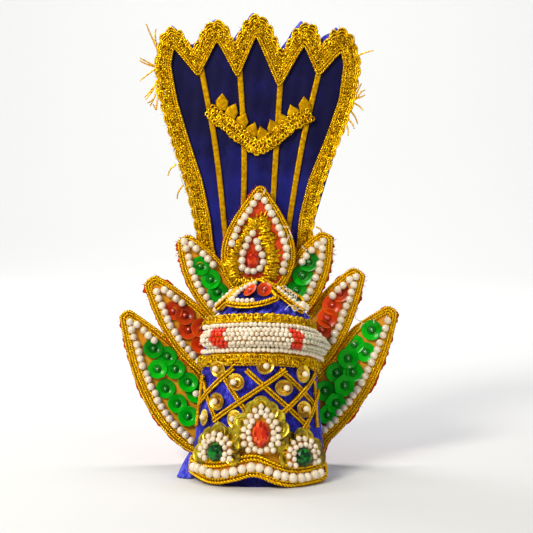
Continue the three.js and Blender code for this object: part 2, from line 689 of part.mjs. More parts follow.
// Purl arch, pearl drop and stone of the middle petal
function buildCentreWork(petal, frame) {
  const face = PETAL_THICK / 2;
  const leg = petalEdge(petal, PURL_INSET, PURL_FOOT, PURL_TOP, PURL_TURN);
  const arch = [...leg, ...mirrored(leg)].map((p) => new THREE.Vector3(PURL_ASIDE + p.x, p.y, face));
  const normals = arch.map(() => new THREE.Vector3(0, 0, 1));
  piece('petal_centre_purl', ribbon(arch, normals, PURL_WIDTH, TRIM), 'braid', frame);

  const drop = Array.from({ length: DROP_STEPS + 1 }, (_, i) => {
    const turn = (0.5 + DROP_SPAN * (2 * i / DROP_STEPS - 1)) * Math.PI;
    const up = (1 + Math.sin(turn)) / 2;
    const half = DROP_HALF * (1 - Math.max(0, (up - DROP_BELLY) / (1 - DROP_BELLY)) ** 2 * DROP_POINT);
    const along = lerp(DROP_FOOT, DROP_TOP, up);
    return new THREE.Vector3(DROP_ASIDE + half * Math.cos(turn), along, face + GAP + SMALL_PEARL / 2);
  });
  piece('petal_centre_drop', tube(drop, SMALL_PEARL), 'pearl', frame);
  const stone = gem(DROP_STONE.halfX, DROP_STONE.halfY, STONE_HEIGHT, face + GAP);
  piece('petal_centre_stone', stone.translate(DROP_ASIDE, DROP_STONE.along, 0), 'red', frame);
}

// The fan's outline, or its border's inner edge, from the left foot over the points to the right foot
function fanEdge(inner) {
  const side = (x) => FAN_SIDES.map((row) => new THREE.Vector2(row[x], row.height));
  const left = side(inner ? 'leftInner' : 'leftX');
  const right = side(inner ? 'rightInner' : 'rightX').reverse();
  const marks = FAN_TOP.map((row) => (inner
    ? new THREE.Vector2(row.innerX, row.innerHeight)
    : new THREE.Vector2(row.x, row.height)));
  const stops = [left[left.length - 1], ...marks, right[0]];
  const top = [];
  for (let i = 0; i < stops.length - 1; i++) {
    const [a, b] = [stops[i], stops[i + 1]];
    const rising = b.y > a.y;
    const across = new THREE.Vector2(-(b.y - a.y), b.x - a.x).normalize();
    const shoulder = a.clone().lerp(b, rising ? SHOULDER : 1 - SHOULDER);
    top.push(shoulder.addScaledVector(across, inner ? 0 : POINT_FULLNESS));
    if (i < marks.length) top.push(b);
  }
  return [...left, ...top, ...right];
}

function buildFan(board) {
  const outline = fanEdge(false).reverse();
  piece('fan_panel', plate(outline, FAN_THICK, -FAN_THICK), 'satinBlue', board);

  const above = (points) => points.filter((p) => p.y > BRAID_FOOT);
  const band = [...above(fanEdge(false)), ...above(fanEdge(true)).reverse()];
  piece('fan_braid', plate(band, TRIM, GAP), 'braid', board);

  const up = new THREE.Vector3(0, 0, 1);
  FAN_RIBS.forEach((rib, i) => {
    const curve = new THREE.CatmullRomCurve3([
      new THREE.Vector3(rib.topX, rib.topHeight, 0),
      new THREE.Vector3(rib.midX, rib.midHeight, 0),
      new THREE.Vector3(rib.footX, RIB_FOOT, 0),
    ]);
    const path = curve.getPoints(RIB_STEPS);
    piece(`fan_rib_${i + 1}`, ribbon(path, path.map(() => up), RIB_WIDTH, RIB_THICK), 'braid', board);
  });

  const lift = 2 * GAP + RIB_THICK;
  const curve = new THREE.CatmullRomCurve3(SWAG_PATH.map((p) => new THREE.Vector3(p.x, p.height, 0)));
  const path = curve.getSpacedPoints(SWAG_STEPS);
  const strip = ribbon(path, path.map(() => up), SWAG_WIDTH, TRIM, lift);
  const leaves = Array.from({ length: SWAG_LEAVES }, (_, i) => {
    const root = curve.getPointAt((i + 0.5) / SWAG_LEAVES);
    const leaf = [
      new THREE.Vector2(0, SWAG_WIDTH / 2 - LEAF_SUNK),
      new THREE.Vector2(LEAF_WIDTH / 2, SWAG_WIDTH / 2 + LEAF_LENGTH * LEAF_BELLY),
      new THREE.Vector2(0, SWAG_WIDTH / 2 + LEAF_LENGTH),
      new THREE.Vector2(-LEAF_WIDTH / 2, SWAG_WIDTH / 2 + LEAF_LENGTH * LEAF_BELLY),
    ];
    return plate(leaf, TRIM, lift).translate(root.x, root.y, 0);
  });
  piece('fan_swag', fuse([strip, ...leaves]), 'braid', board);
}

const board = new THREE.Group();
board.position.set(0, FAN_FRONT, 0);
board.rotation.x = Math.PI / 2 - FAN_LEAN;
crown.add(board);

buildCap();
buildFlap();
buildRoll();
buildLattice();
buildBrow();
ROSETTES.forEach(buildRosette);
DOME_PETALS.forEach(buildDomePetal);
for (const petal of PETALS) {
  const frame = buildPetal(petal, board);
  if (petal.side === 0) buildCentreWork(petal, frame);
}
buildFan(board);

// The origin is under the middle of the whole crown, on the surface that it stands on
const box = new THREE.Box3().setFromObject(crown, true);
const middle = box.getCenter(new THREE.Vector3());
crown.position.set(-middle.x, -middle.y, -box.min.z);
const standing = new THREE.Group();
standing.add(crown);

export default standing;
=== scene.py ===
import bpy
import numpy as np
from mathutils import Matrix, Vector


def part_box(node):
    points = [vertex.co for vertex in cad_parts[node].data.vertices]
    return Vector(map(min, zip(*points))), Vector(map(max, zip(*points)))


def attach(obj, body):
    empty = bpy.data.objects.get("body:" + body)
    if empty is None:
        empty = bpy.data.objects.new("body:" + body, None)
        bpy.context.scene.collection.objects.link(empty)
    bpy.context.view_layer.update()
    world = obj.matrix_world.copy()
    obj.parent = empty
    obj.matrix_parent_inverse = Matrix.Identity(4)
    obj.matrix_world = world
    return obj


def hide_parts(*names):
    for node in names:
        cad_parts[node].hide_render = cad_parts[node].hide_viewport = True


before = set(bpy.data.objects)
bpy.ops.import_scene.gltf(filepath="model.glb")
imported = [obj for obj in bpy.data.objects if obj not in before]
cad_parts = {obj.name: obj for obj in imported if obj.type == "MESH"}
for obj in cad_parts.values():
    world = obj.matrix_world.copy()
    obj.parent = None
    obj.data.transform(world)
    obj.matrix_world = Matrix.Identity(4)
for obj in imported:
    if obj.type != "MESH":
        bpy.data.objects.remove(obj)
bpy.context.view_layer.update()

# Sizes are millimetres in the cap's own layout: x to the viewer's right, y to the back, z up, and
# zero at the middle of the cap's rim. addPiece turns them into metres in the frame.
mm = 0.001
rimRadius = 28.4
capLow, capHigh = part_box("cap_wall")
rimMiddle = np.array([(capLow.x + capHigh.x) / 2, capLow.y + rimRadius * mm, 0.0])
random = np.random.default_rng(5)
tally = {"triangles": 0}


# Vectors made one long
def unit(vectors):
    return vectors / np.maximum(np.linalg.norm(vectors, axis=-1, keepdims=True), 1e-12)


# Three coordinates, each a number or an array, as one array of points
def xyz(x, y, z):
    return np.stack(np.broadcast_arrays(x, y, z), axis=-1)


# Points moved by a random amount each way
def jittered(points, amount):
    return points + random.normal(0, amount, points.shape)


# Slow random swings about zero along a row of points: a few random knots read in between
def wander(count, spacing):
    knots = max(int(count / spacing), 2) + 2
    return np.interp(np.linspace(0, knots - 1, count), np.arange(knots), random.normal(size=knots))


# Reading of a short table, straight between its rows and then averaged over a window
def readSoft(at, xs, ys, window):
    at = np.asarray(at, float)
    return np.mean([np.interp(at + k, xs, ys) for k in np.linspace(-window, window, 9)], axis=0)


# One value for each of count points, or the values as they are
def spread(value, count):
    return np.broadcast_to(np.ravel(value), (count,)) if np.size(value) == 1 else np.ravel(value)


# A mesh being worked out: points, four- and three-sided faces, a flat map and a shade for each point
def shape(points, quads=None, tris=None, flat=None, tint=0.5):
    points = np.asarray(points, float).reshape(-1, 3)
    return {
        "points": points,
        "quads": np.zeros((0, 4), int) if quads is None else np.asarray(quads, int),
        "tris": np.zeros((0, 3), int) if tris is None else np.asarray(tris, int),
        "flat": np.zeros((len(points), 2)) if flat is None else np.asarray(flat, float).reshape(-1, 2),
        "tint": spread(tint, len(points)),
    }


# Several shapes as one: face numbers move on past the points that come before
def joined(shapes):
    starts = np.cumsum([0] + [len(s["points"]) for s in shapes[:-1]])
    moved = [{**s, "quads": s["quads"] + k, "tris": s["tris"] + k} for s, k in zip(shapes, starts)]
    return shape(*(np.concatenate([s[key] for s in moved]) for key in moved[0]))


# Faces turned outwards by the sign of the volume that a closed surface holds
def outward(made):
    p, q, t = made["points"], made["quads"], made["tris"]
    corners = np.concatenate([q[:, [0, 1, 2]], q[:, [0, 2, 3]], t])
    a, b, c = (p[corners[:, k]] - p.mean(0) for k in range(3))
    if np.einsum("ij,ij->", a, np.cross(b, c)) < 0:
        made["quads"], made["tris"] = q[:, ::-1], t[:, ::-1]
    return made


# A grid of points whose rows are rings; the rows close on themselves, or the first and last end in a point
def gridShape(points, closedRows=False, flat=None, tint=0.5):
    rows, cols = points.shape[:2]
    r = np.arange(rows if closedRows else rows - 1)[:, None]
    c = np.arange(cols)[None]
    r2, c2 = (r + 1) % rows, (c + 1) % cols
    quads = np.stack([r * cols + c, r * cols + c2, r2 * cols + c2, r2 * cols + c], axis=-1).reshape(-1, 4)
    spots = points.reshape(-1, 3)
    flat = np.zeros((len(spots), 2)) if flat is None else np.asarray(flat).reshape(-1, 2)
    tint = spread(tint, len(spots))
    tris = None
    if not closedRows:
        k, k2 = c[0], c2[0]
        low, high, last = len(spots), len(spots) + 1, (rows - 1) * cols
        tris = np.concatenate([xyz(low, k2, k), xyz(high, last + k, last + k2)])
        spots = np.concatenate([spots, points[:1].mean(axis=1), points[-1:].mean(axis=1)])
        flat = np.concatenate([flat, flat[:1], flat[-1:]])
        tint = np.concatenate([tint, tint[:1], tint[-1:]])
    return outward(shape(spots, quads, tris, flat, tint))


# Points a fixed step apart along a path, and how far along each lies; columns after the third, such as
# normals, are read with it
def evenly(path, step, closed=False):
    path = np.asarray(path, float)
    if closed:
        path = np.concatenate([path, path[:1]])
    run = runAlong(path[:, :3])
    count = max(int(round(run[-1] / step)), 2) + 1
    at = np.linspace(0, run[-1], count)
    even = np.stack([np.interp(at, run, path[:, k]) for k in range(path.shape[1])], axis=1)
    return (even[:-1], at[:-1]) if closed else (even, at)


# Distance along a path: the sum of the steps so far
def runAlong(path):
    return np.concatenate([[0], np.cumsum(np.linalg.norm(np.diff(path, axis=0), axis=1))])


# A path with its corners eased: each point moves half way to the mean of its neighbours, several times
def softened(path, times, closed=False):
    path = np.array(path, float)
    for _ in range(times):
        mean = (np.roll(path, 1, axis=0) + np.roll(path, -1, axis=0)) / 2
        eased = (path + mean) / 2
        if not closed:
            eased[[0, -1]] = path[[0, -1]]
        path = eased
    return path


# A smooth curve through a few points (each span a cubic whose slope comes from its neighbours)
def through(points, count):
    p = np.asarray(points, float)
    p = np.concatenate([2 * p[:1] - p[1:2], p, 2 * p[-1:] - p[-2:-1]])
    at = np.linspace(0, len(p) - 3 - 1e-9, count)
    k = at.astype(int)
    t = (at - k)[:, None]
    a, b, c, d = p[k], p[k + 1], p[k + 2], p[k + 3]
    return (b + t * (c - a) / 2 + t ** 2 * (a - 2.5 * b + 2 * c - d / 2)
            + t ** 3 * (1.5 * (b - c) + (d - a) / 2))


# Direction along a path: the difference of each point's neighbours, made one long
def heading(path, closed=False):
    if closed:
        return unit(np.roll(path, -1, axis=0) - np.roll(path, 1, axis=0))
    return unit(np.gradient(path, axis=0))


# Angles at even steps round a full turn
def around(sides):
    return np.arange(sides) / sides * 2 * np.pi


# A round section carried along a path: centre + radius (cos t across + sin t normal), ends closed;
# unless a tint is given, painted light on the side towards the normal and painted shade underneath
def tube(path, radius, normals, sides=6, closed=False, tint=None):
    along = heading(path, closed)
    across = unit(np.cross(along, np.broadcast_to(normals, path.shape)))
    lift = np.cross(across, along)
    turn = around(sides)
    section = np.cos(turn)[:, None] * across[:, None] + np.sin(turn)[:, None] * lift[:, None]
    points = path[:, None] + np.broadcast_to(radius, len(path))[:, None, None] * section
    flat = np.stack(np.broadcast_arrays(runAlong(path)[:, None], turn / (2 * np.pi)), axis=-1)
    tint = 0.5 + 0.3 * np.sin(turn) if tint is None else tint
    return gridShape(points, closedRows=closed, flat=flat, tint=np.broadcast_to(tint, (len(path), sides)))


# Points along a path, each at least a gap away from the last in a straight line, as beads on a string lie
def strung(path, gap):
    picked = [0]
    while True:
        away = np.linalg.norm(path - path[picked[-1]], axis=1)
        ahead = np.flatnonzero((away >= gap) & (np.arange(len(path)) > picked[-1]))
        if not len(ahead):
            return path[picked]
        picked.append(ahead[0])


# A path at an even step with the normal and the sideways direction at each point
def railed(path, normals, step, closed=False):
    line, run = evenly(np.hstack([path, np.broadcast_to(normals, path.shape)]), step, closed)
    spot, normal = line[:, :3], unit(line[:, 3:])
    return spot, normal, unit(np.cross(heading(spot, closed), normal)), run


# Two strands twisted round a path: strand k is path + r cos(w s + k pi) across + r sin(w s + k pi) normal,
# with painted light where a strand stands out and painted shade in the grooves
def rope(path, normals, size, pitch, hand=1, sides=6, closed=False):
    spot, normal, across, run = railed(path, normals, pitch / 8, closed)
    length = run[-1] + (run[1] if closed else 0)
    phase = hand * 2 * np.pi * max(round(length / pitch), 1) * run / length
    made = []
    for k in range(2):
        twist = (phase + np.pi * k)[:, None]
        centre = spot + 0.25 * size * (np.cos(twist) * across + np.sin(twist) * normal)
        reach = 0.25 * np.sin(twist) + 0.27 * np.sin(around(sides))
        tint = 0.1 + 0.85 * np.clip((reach - 0.06) / 0.4, 0, 1)
        made.append(tube(centre, 0.27 * size, normal, sides, closed, tint))
    return joined(made)


# A cord laid to and fro across a band: path + across (width / 2) sin(2 pi s / pitch), a little uneven
def meander(path, normals, width, pitch, size, uneven, lift, sides=5):
    spot, normal, across, run = railed(path, normals, pitch / 10)
    count = len(run)
    phase = 2 * np.pi * (run / pitch + 0.2 * wander(count, 26))
    width = np.interp(run, np.linspace(0, run[-1], np.size(width)), np.ravel(width))
    swing = width / 2 * (1 + uneven * wander(count, 9)) * np.sin(phase)
    rise = 0.35 * np.cos(2 * phase) + 0.3 * wander(count, 7)
    centre = spot + across * swing[:, None] + normal * (lift + size * rise)[:, None]
    # Painted light where the cord rises and on its upper side, painted shade where it dips and underneath
    tint = np.clip(0.42 + 0.3 * rise[:, None] + 0.3 * np.sin(around(sides)), 0, 1)
    return tube(centre, size / 2, normal, sides, tint=tint)


# Copies of one shape, each scaled, turned by its own three axes and moved, as one mesh
def copies(base, places, frames=None, sizes=1.0, tints=None):
    places = np.asarray(places, float).reshape(-1, 3)
    count, size = len(places), len(base["points"])
    sizes = np.asarray(sizes, float)
    sizes = np.broadcast_to(sizes if sizes.ndim == 2 else sizes.reshape(-1, 1), (count, 3))
    points = base["points"][None] * sizes[:, None]
    if frames is not None:
        points = np.einsum("nij,nvj->nvi", np.broadcast_to(frames, (count, 3, 3)), points)
    starts = (np.arange(count) * size)[:, None, None]
    tints = random.uniform(0.2, 0.8, count) if tints is None else spread(tints, count)
    return shape(
        points + places[:, None],
        (base["quads"][None] + starts).reshape(-1, 4),
        (base["tris"][None] + starts).reshape(-1, 3),
        np.tile(base["flat"], (count, 1)),
        np.clip(base["tint"][None] + tints[:, None] - 0.5, 0, 1),
    )


# Axes for copies that lie on a surface: x and y turned by an angle in it, z its normal, then tilted
def lying(along, normals, turn=0.0, tilt=0.0, tiltTurn=0.0):
    z = unit(np.asarray(normals, float))
    x = unit(along - z * np.sum(along * z, axis=-1, keepdims=True))
    y = np.cross(z, x)
    turn, tilt, tiltTurn = (np.reshape(np.asarray(v, float), (-1, 1)) for v in (turn, tilt, tiltTurn))
    lean = np.cos(tiltTurn) * x + np.sin(tiltTurn) * y
    newZ = unit(np.cos(tilt) * z + np.sin(tilt) * lean)
    side = np.cos(turn) * x + np.sin(turn) * y
    newX = unit(side - newZ * np.sum(side * newZ, axis=-1, keepdims=True))
    return np.stack([newX, np.cross(newZ, newX), newZ], axis=-1)


# The same with a random turn and tilt for each copy
def scattered(along, normals, turn, tiltFrom, tiltTo):
    count = len(along)
    return lying(along, np.broadcast_to(normals, along.shape), turn * random.uniform(0, 6.3, count),
                 random.uniform(tiltFrom, tiltTo, count), random.uniform(0, 6.3, count))


# A ball of radius one: rings of latitude that close in a point at each end
def ball(rings=5, sides=10):
    lat = np.linspace(-np.pi / 2, np.pi / 2, rings + 2)[1:-1][:, None]
    lon = around(sides)[None]
    made = gridShape(xyz(np.cos(lat) * np.cos(lon), np.cos(lat) * np.sin(lon), np.sin(lat)))
    made["points"][-2:] = [[0, 0, -1], [0, 0, 1]]
    return made


# Round beads at given places, each a little smaller or larger than the size across
def pearls(places, size, least, most, rings=7, sides=12):
    return copies(ball(rings, sides), places, None, size / 2 * random.uniform(least, most, len(places)))


# A small ring of cord: a circle of radius one with a round section
def loop(thick=0.4, steps=8, sides=4):
    turn = around(steps)
    return tube(xyz(np.cos(turn), np.sin(turn), 0 * turn), thick, (0, 0, 1), sides, closed=True)


# A cup sequin of radius one: its closed profile, hole to rim and back underneath, turned round its axis
def cup(sides=22, depth=0.15, floor=0.4, hole=0.08, thick=0.035):
    radii = np.array([hole, floor - 0.05, floor, floor + 0.06, 0.95, 1.0, 0.97, floor, hole])[:, None]
    rises = np.array([0.03, 0.03, 0.0, 0.05, depth, depth + 0.005, depth - thick, -thick, -thick])[:, None]
    turn = around(sides)[None]
    flat = np.stack(np.broadcast_arrays(radii, turn / (2 * np.pi)), axis=-1)
    # Painted light on one side of each cup and painted shade on the other, stronger towards the rim
    return gridShape(xyz(radii * np.cos(turn), radii * np.sin(turn), rises), closedRows=True, flat=flat,
                     tint=0.5 + 0.34 * radii * np.cos(turn))


# A cut stone: girdle, two rings of sloping facets turned half a step, and a table; each facet its own shade,
# a painted reflection: girdle and base dark, crown facets at random, table facets paler in pairs
def cutStone(halfX, halfY, height, sides=12):
    levels = [(0.84, 0.0, 0.0), (1.0, 0.3, 0.0), (1.0, 0.42, 0.0), (0.8, 0.78, 0.5), (0.5, 1.0, 0.0)]
    rings = []
    for size, up, offset in levels:
        turn = around(sides) + offset * 2 * np.pi / sides
        rings.append(xyz(size * halfX * np.cos(turn), size * halfY * np.sin(turn), up * height))
    points = np.concatenate(rings + [[[0, 0, 0], [0, 0, height]]])
    k = np.arange(sides)
    k2 = (k + 1) % sides
    a, b, c, d, e = (level * sides for level in range(len(levels)))
    under, table = len(points) - 2, len(points) - 1
    faces = np.concatenate([xyz(*corners) for corners in (
        (a + k, a + k2, b + k2), (a + k, b + k2, b + k), (b + k, b + k2, c + k2), (b + k, c + k2, c + k),
        (c + k, c + k2, d + k), (c + k2, d + k2, d + k), (d + k, d + k2, e + k2), (d + k, e + k2, e + k),
        (e + k, e + k2, table), (a + k2, a + k, under))])
    shades = np.concatenate([np.full(4 * sides, 0.3), random.uniform(0, 1, 4 * sides),
                             np.repeat(random.uniform(0.35, 0.9, sides // 2), 2), np.full(sides, 0.3)])
    corners = np.arange(3 * len(faces)).reshape(-1, 3)
    return outward(shape(points[faces].reshape(-1, 3), tris=corners, tint=np.repeat(shades, 3)))


# Puts worked-out shapes into one mesh, a material each, and hangs the piece on the frame
def addPiece(name, parts, replaced=(), smooth=True):
    whole = joined([made for made, _ in parts])
    quads, tris = whole["quads"], whole["tris"]
    loops = np.concatenate([quads.ravel(), tris.ravel()])
    starts = np.concatenate([np.arange(len(quads)) * 4, 4 * len(quads) + np.arange(len(tris)) * 3])
    mesh = bpy.data.meshes.new(name)
    mesh.vertices.add(len(whole["points"]))
    mesh.vertices.foreach_set("co", (whole["points"] * mm + rimMiddle).ravel())
    mesh.loops.add(len(loops))
    mesh.loops.foreach_set("vertex_index", loops)
    mesh.polygons.add(len(starts))
    mesh.polygons.foreach_set("loop_start", starts)
    mesh.polygons.foreach_set("use_smooth", np.full(len(starts), smooth))
    finishes = list(dict.fromkeys(material for _, material in parts))
    index = np.concatenate([np.full(len(made[key]), finishes.index(material))
                            for key in ("quads", "tris") for made, material in parts])
    for material in finishes:
        mesh.materials.append(material)
    mesh.polygons.foreach_set("material_index", index)
    mesh.uv_layers.new(name="flatMap").data.foreach_set("uv", whole["flat"][loops].ravel())
    mesh.attributes.new("tint", "FLOAT", "POINT").data.foreach_set("value", whole["tint"])
    mesh.update(calc_edges=True)
    piece = bpy.data.objects.new(name, mesh)
    bpy.context.collection.objects.link(piece)
    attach(piece, "root")
    if replaced:
        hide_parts(*replaced)
    tally["triangles"] += 2 * len(quads) + len(tris)
    return piece


# A shader node with its settings and fixed inputs
def node(tree, kind, values=None, **settings):
    made = tree.nodes.new(kind)
    for key, value in settings.items():
        setattr(made, key, value)
    for key, value in (values or {}).items():
        made.inputs[key].default_value = value
    return made


# Noise of a given scale on the piece's own coordinates, stretched where asked
def grain(tree, scale, detail=2.0, stretch=None):
    noise = node(tree, "ShaderNodeTexNoise", {"Scale": scale, "Detail": detail})
    coords = node(tree, "ShaderNodeTexCoord").outputs["Object"]
    if stretch:
        mapping = node(tree, "ShaderNodeMapping", {"Scale": stretch})
        tree.links.new(coords, mapping.inputs["Vector"])
        coords = mapping.outputs["Vector"]
    tree.links.new(coords, noise.inputs["Vector"])
    return noise.outputs["Fac"]


# A weighted sum of patterns and a fixed amount
def blend(tree, amount, *terms):
    total = None
    for source, weight in terms:
        made = node(tree, "ShaderNodeMath", {1: weight}, operation="MULTIPLY_ADD")
        tree.links.new(source, made.inputs[0])
        if total is None:
            made.inputs[2].default_value = amount
        else:
            tree.links.new(total, made.inputs[2])
        total = made.outputs[0]
    return total


# Colours, or greys given as one number, read off along a pattern
def ramp(tree, source, stops):
    made = node(tree, "ShaderNodeValToRGB")
    steps = made.color_ramp.elements
    while len(steps) < len(stops):
        steps.new(0.5)
    for step, (place, colour) in zip(steps, stops):
        step.position = place
        step.color = (*colour, 1) if isinstance(colour, tuple) else (colour, colour, colour, 1)
    tree.links.new(source, made.inputs["Fac"])
    return made.outputs["Color"]


# A new material with fixed values in its shader's sockets
def newFinish(name, values):
    material = bpy.data.materials.new(name)
    material.use_nodes = True
    tree = material.node_tree
    shader = tree.nodes["Principled BSDF"]
    for key, value in values.items():
        shader.inputs[key].default_value = value
    return material, tree, shader


# The shade that the mesh holds for each point: a random tone, painted light and shade, or both
def tintOf(tree):
    return node(tree, "ShaderNodeAttribute", attribute_name="tint").outputs["Fac"]


# A finish whose colour follows an amount plus a weighted sum of patterns: grains by their scale, detail and
# stretch, or "shade", the tint of each point, which holds painted light and shade on many pieces. Roughness
# follows one pattern or "sum", and relief one grain.
def patterned(name, values, terms, stops, amount=0.0, rough=None, bump=None):
    material, tree, shader = newFinish(name, values)
    made = {}

    # Each pattern is made once
    def source(pattern):
        if pattern not in made:
            made[pattern] = tintOf(tree) if pattern == "shade" else grain(tree, *pattern)
        return made[pattern]

    made["sum"] = blend(tree, amount, *[(source(pattern), weight) for pattern, weight in terms])
    tree.links.new(ramp(tree, made["sum"], stops), shader.inputs["Base Color"])
    if rough:
        pattern, low, high = rough
        tree.links.new(ramp(tree, source(pattern), [(0.3, low), (0.7, high)]), shader.inputs["Roughness"])
    if bump:
        pattern, distance, strength = bump
        relief = node(tree, "ShaderNodeBump", {"Distance": distance, "Strength": strength})
        tree.links.new(source(pattern), relief.inputs["Height"])
        tree.links.new(relief.outputs["Normal"], shader.inputs["Normal"])
    return material


# Metal thread: painted bright and dark glints a thread wide, painted shade where a cord lies deep, painted
# light where it stands out
def threadGold(name, dark, middle, light, rough, glint=1500.0, metal=0.8):
    glints = (glint, 3.0)
    return patterned(name, {"Metallic": metal, "Specular IOR Level": 0.0}, [(glints, 1.5), ("shade", 0.52)],
                     [(0.28, dark), (0.5, middle), (0.74, light)], -0.51,
                     (glints, rough + 0.15, rough - 0.1), ((3600.0, 2.0), 0.00012, 0.6))


# Pile cloth: crushed patches and fine pile
def velvetBlue():
    crush, pile = (190.0, 4.0, (1.0, 1.0, 0.6)), (950.0, 4.0, (1.0, 1.0, 0.6))
    return patterned(
        "velvetBlue", {"Roughness": 0.85, "Sheen Weight": 0.3, "Sheen Roughness": 0.35,
                       "Sheen Tint": (0.2, 0.25, 1.0, 1), "Specular IOR Level": 0.15},
        [(crush, 0.42), (pile, 0.5), ("shade", 0.3)],
        [(0.36, (0.005, 0.004, 0.06)), (0.5, (0.014, 0.011, 0.28)), (0.6, (0.04, 0.04, 0.55)),
         (0.72, (0.14, 0.16, 0.8))], -0.08, bump=(pile, 0.0003, 0.8))


# Satin: soft clouds and fine threads
def satin(name, dark, light, rough, gloss):
    cloud, threads = (90.0, 4.0), (2400.0, 2.0, (1.0, 1.0, 0.15))
    return patterned(name, {"Specular IOR Level": gloss}, [(cloud, 0.4), (threads, 0.2), ("shade", 0.4)],
                     [(0.34, dark), (0.66, light)], 0.0, (cloud, rough - 0.08, rough + 0.12),
                     (threads, 0.00008, 0.5))


# Felt: fibres from dark to light red, a little raised
def feltRed():
    fibres = (1800.0, 4.0)
    return patterned("feltRed", {"Roughness": 0.95, "Specular IOR Level": 0.1}, [(fibres, 1.0)],
                     [(0.32, (0.3, 0.015, 0.001)), (0.55, (0.6, 0.04, 0.003)), (0.72, (0.8, 0.11, 0.01))],
                     bump=(fibres, 0.0003, 1.0))


# Bead with a soft pearl coat: each bead a little warmer or paler, faint clouds over it
def pearlCoat(name, warm, pale, rough=0.26):
    cloud = (900.0, 2.0)
    return patterned(name, {"Coat Weight": 0.8, "Coat Roughness": 0.06, "Coat IOR": 1.7,
                            "Subsurface Weight": 0.1, "Subsurface Radius": (1.0, 0.8, 0.6),
                            "Subsurface Scale": 0.0008},
                     [(cloud, 0.5), ("shade", 0.5)], [(0.3, warm), (0.65, pale)], 0.0,
                     (cloud, rough - 0.06, rough + 0.1))


# Gold foil: soft clouds, smoother where it is pale
def foilGold(name, dark, middle, light, rough):
    return patterned(name, {"Metallic": 0.85, "Coat Weight": 0.3, "Coat Roughness": 0.08},
                     [((420.0,), 1.0), ("shade", 0.5)], [(0.3, dark), (0.52, middle), (0.72, light)], -0.25,
                     ("sum", rough + 0.12, rough - 0.06))


# Cut stone: painted reflections, deep, middle or flash by the shade of each facet
def stone(name, deep, body, flash):
    return patterned(name, {"Roughness": 0.08, "Coat Weight": 0.25, "Coat Roughness": 0.03,
                            "Specular IOR Level": 0.25},
                     [("shade", 1.0)], [(0.1, deep), (0.6, body), (0.95, flash)])


# Sewing thread: two colours mixed along its grain
def plainThread(name, colour, light):
    return patterned(name, {"Roughness": 0.7}, [((1500.0,), 1.0)], [(0.3, colour), (0.7, light)])


# Small bead that throws a bright spark
def sparkBead(name, colour, coat=2.2):
    return newFinish(name, {"Base Color": (*colour, 1), "Roughness": 0.25, "Coat Weight": 1.0,
                            "Coat Roughness": 0.1, "Coat IOR": coat, "Specular IOR Level": 0.2})[0]


# Coloured foil disc: colour by the radius in its flat map, times a shade
def clearSequin(name, deep, floor, wall, rim):
    material, tree, shader = newFinish(name, {
        "Roughness": 0.25, "Coat Weight": 0.12, "Coat Roughness": 0.06, "Specular IOR Level": 0.1})
    part = node(tree, "ShaderNodeSeparateXYZ")
    tree.links.new(node(tree, "ShaderNodeUVMap", uv_map="flatMap").outputs["UV"], part.inputs["Vector"])
    # Painted light and shade by the radius: darker floor, dark pressed ring and dark edge, paler wall,
    # painted highlight on the rim
    rings = ramp(tree, part.outputs["X"], [(0.0, floor), (0.36, floor), (0.41, deep), (0.46, wall),
                                           (0.9, wall), (0.96, rim), (0.99, deep)])
    # The shade carries the painted light side of each cup; the grain a random tone
    clouds = blend(tree, 0.0, (tintOf(tree), 0.6), (grain(tree, 350.0), 0.4))
    product = node(tree, "ShaderNodeMix", {"Factor": 1.0}, data_type="RGBA", blend_type="MULTIPLY")
    tree.links.new(rings, product.inputs[6])
    tree.links.new(ramp(tree, clouds, [(0.25, 0.36), (0.7, 1.0)]), product.inputs[7])
    tree.links.new(product.outputs[2], shader.inputs["Base Color"])
    return material


braidGold = threadGold("braidGold", (0.16, 0.045, 0.001), (0.74, 0.33, 0.002), (1.0, 0.64, 0.008), 0.36)
loopGold = threadGold("loopGold", (0.13, 0.04, 0.001), (0.58, 0.27, 0.002), (1.0, 0.64, 0.01), 0.3, 1200.0)
ribbonGold = threadGold("ribbonGold", (0.4, 0.19, 0.001), (0.55, 0.28, 0.002), (0.74, 0.41, 0.004), 0.45,
                        700.0, 0.6)
groundGold = threadGold("groundGold", (0.06, 0.017, 0.001), (0.22, 0.09, 0.001), (0.5, 0.25, 0.003), 0.5)
velvet = velvetBlue()
navySatin = satin("navySatin", (0.005, 0.004, 0.04), (0.014, 0.016, 0.23), 0.5, 0.1)
goldSatin = satin("goldSatin", (0.62, 0.22, 0.003), (0.9, 0.42, 0.01), 0.45, 0.2)
redSatin = satin("redSatin", (0.45, 0.018, 0.001), (0.8, 0.085, 0.005), 0.5, 0.2)
greenSatin = satin("greenSatin", (0.0, 0.05, 0.006), (0.004, 0.16, 0.02), 0.4, 0.3)
felt = feltRed()
pearl = pearlCoat("pearl", (0.74, 0.59, 0.39), (0.92, 0.8, 0.6))
seedWhite = pearlCoat("seedWhite", (0.73, 0.6, 0.41), (0.9, 0.8, 0.6), 0.24)
seedClear = pearlCoat("seedClear", (0.5, 0.45, 0.27), (0.68, 0.63, 0.44))
seedRed = sparkBead("seedRed", (0.74, 0.03, 0.001), 1.2)
greenSequin = clearSequin("greenSequin", (0.0, 0.06, 0.001), (0.0, 0.26, 0.002), (0.0, 0.52, 0.003),
                          (0.0, 0.7, 0.012))
redSequin = clearSequin("redSequin", (0.2, 0.006, 0.0), (0.56, 0.028, 0.001), (0.8, 0.055, 0.001),
                        (1.0, 0.2, 0.008))
greenStud = sparkBead("greenStud", (0.0, 0.22, 0.004))
redStud = sparkBead("redStud", (0.6, 0.035, 0.002))
cupGold = foilGold("cupGold", (0.4, 0.2, 0.004), (0.8, 0.5, 0.02), (1.0, 0.8, 0.1), 0.24)
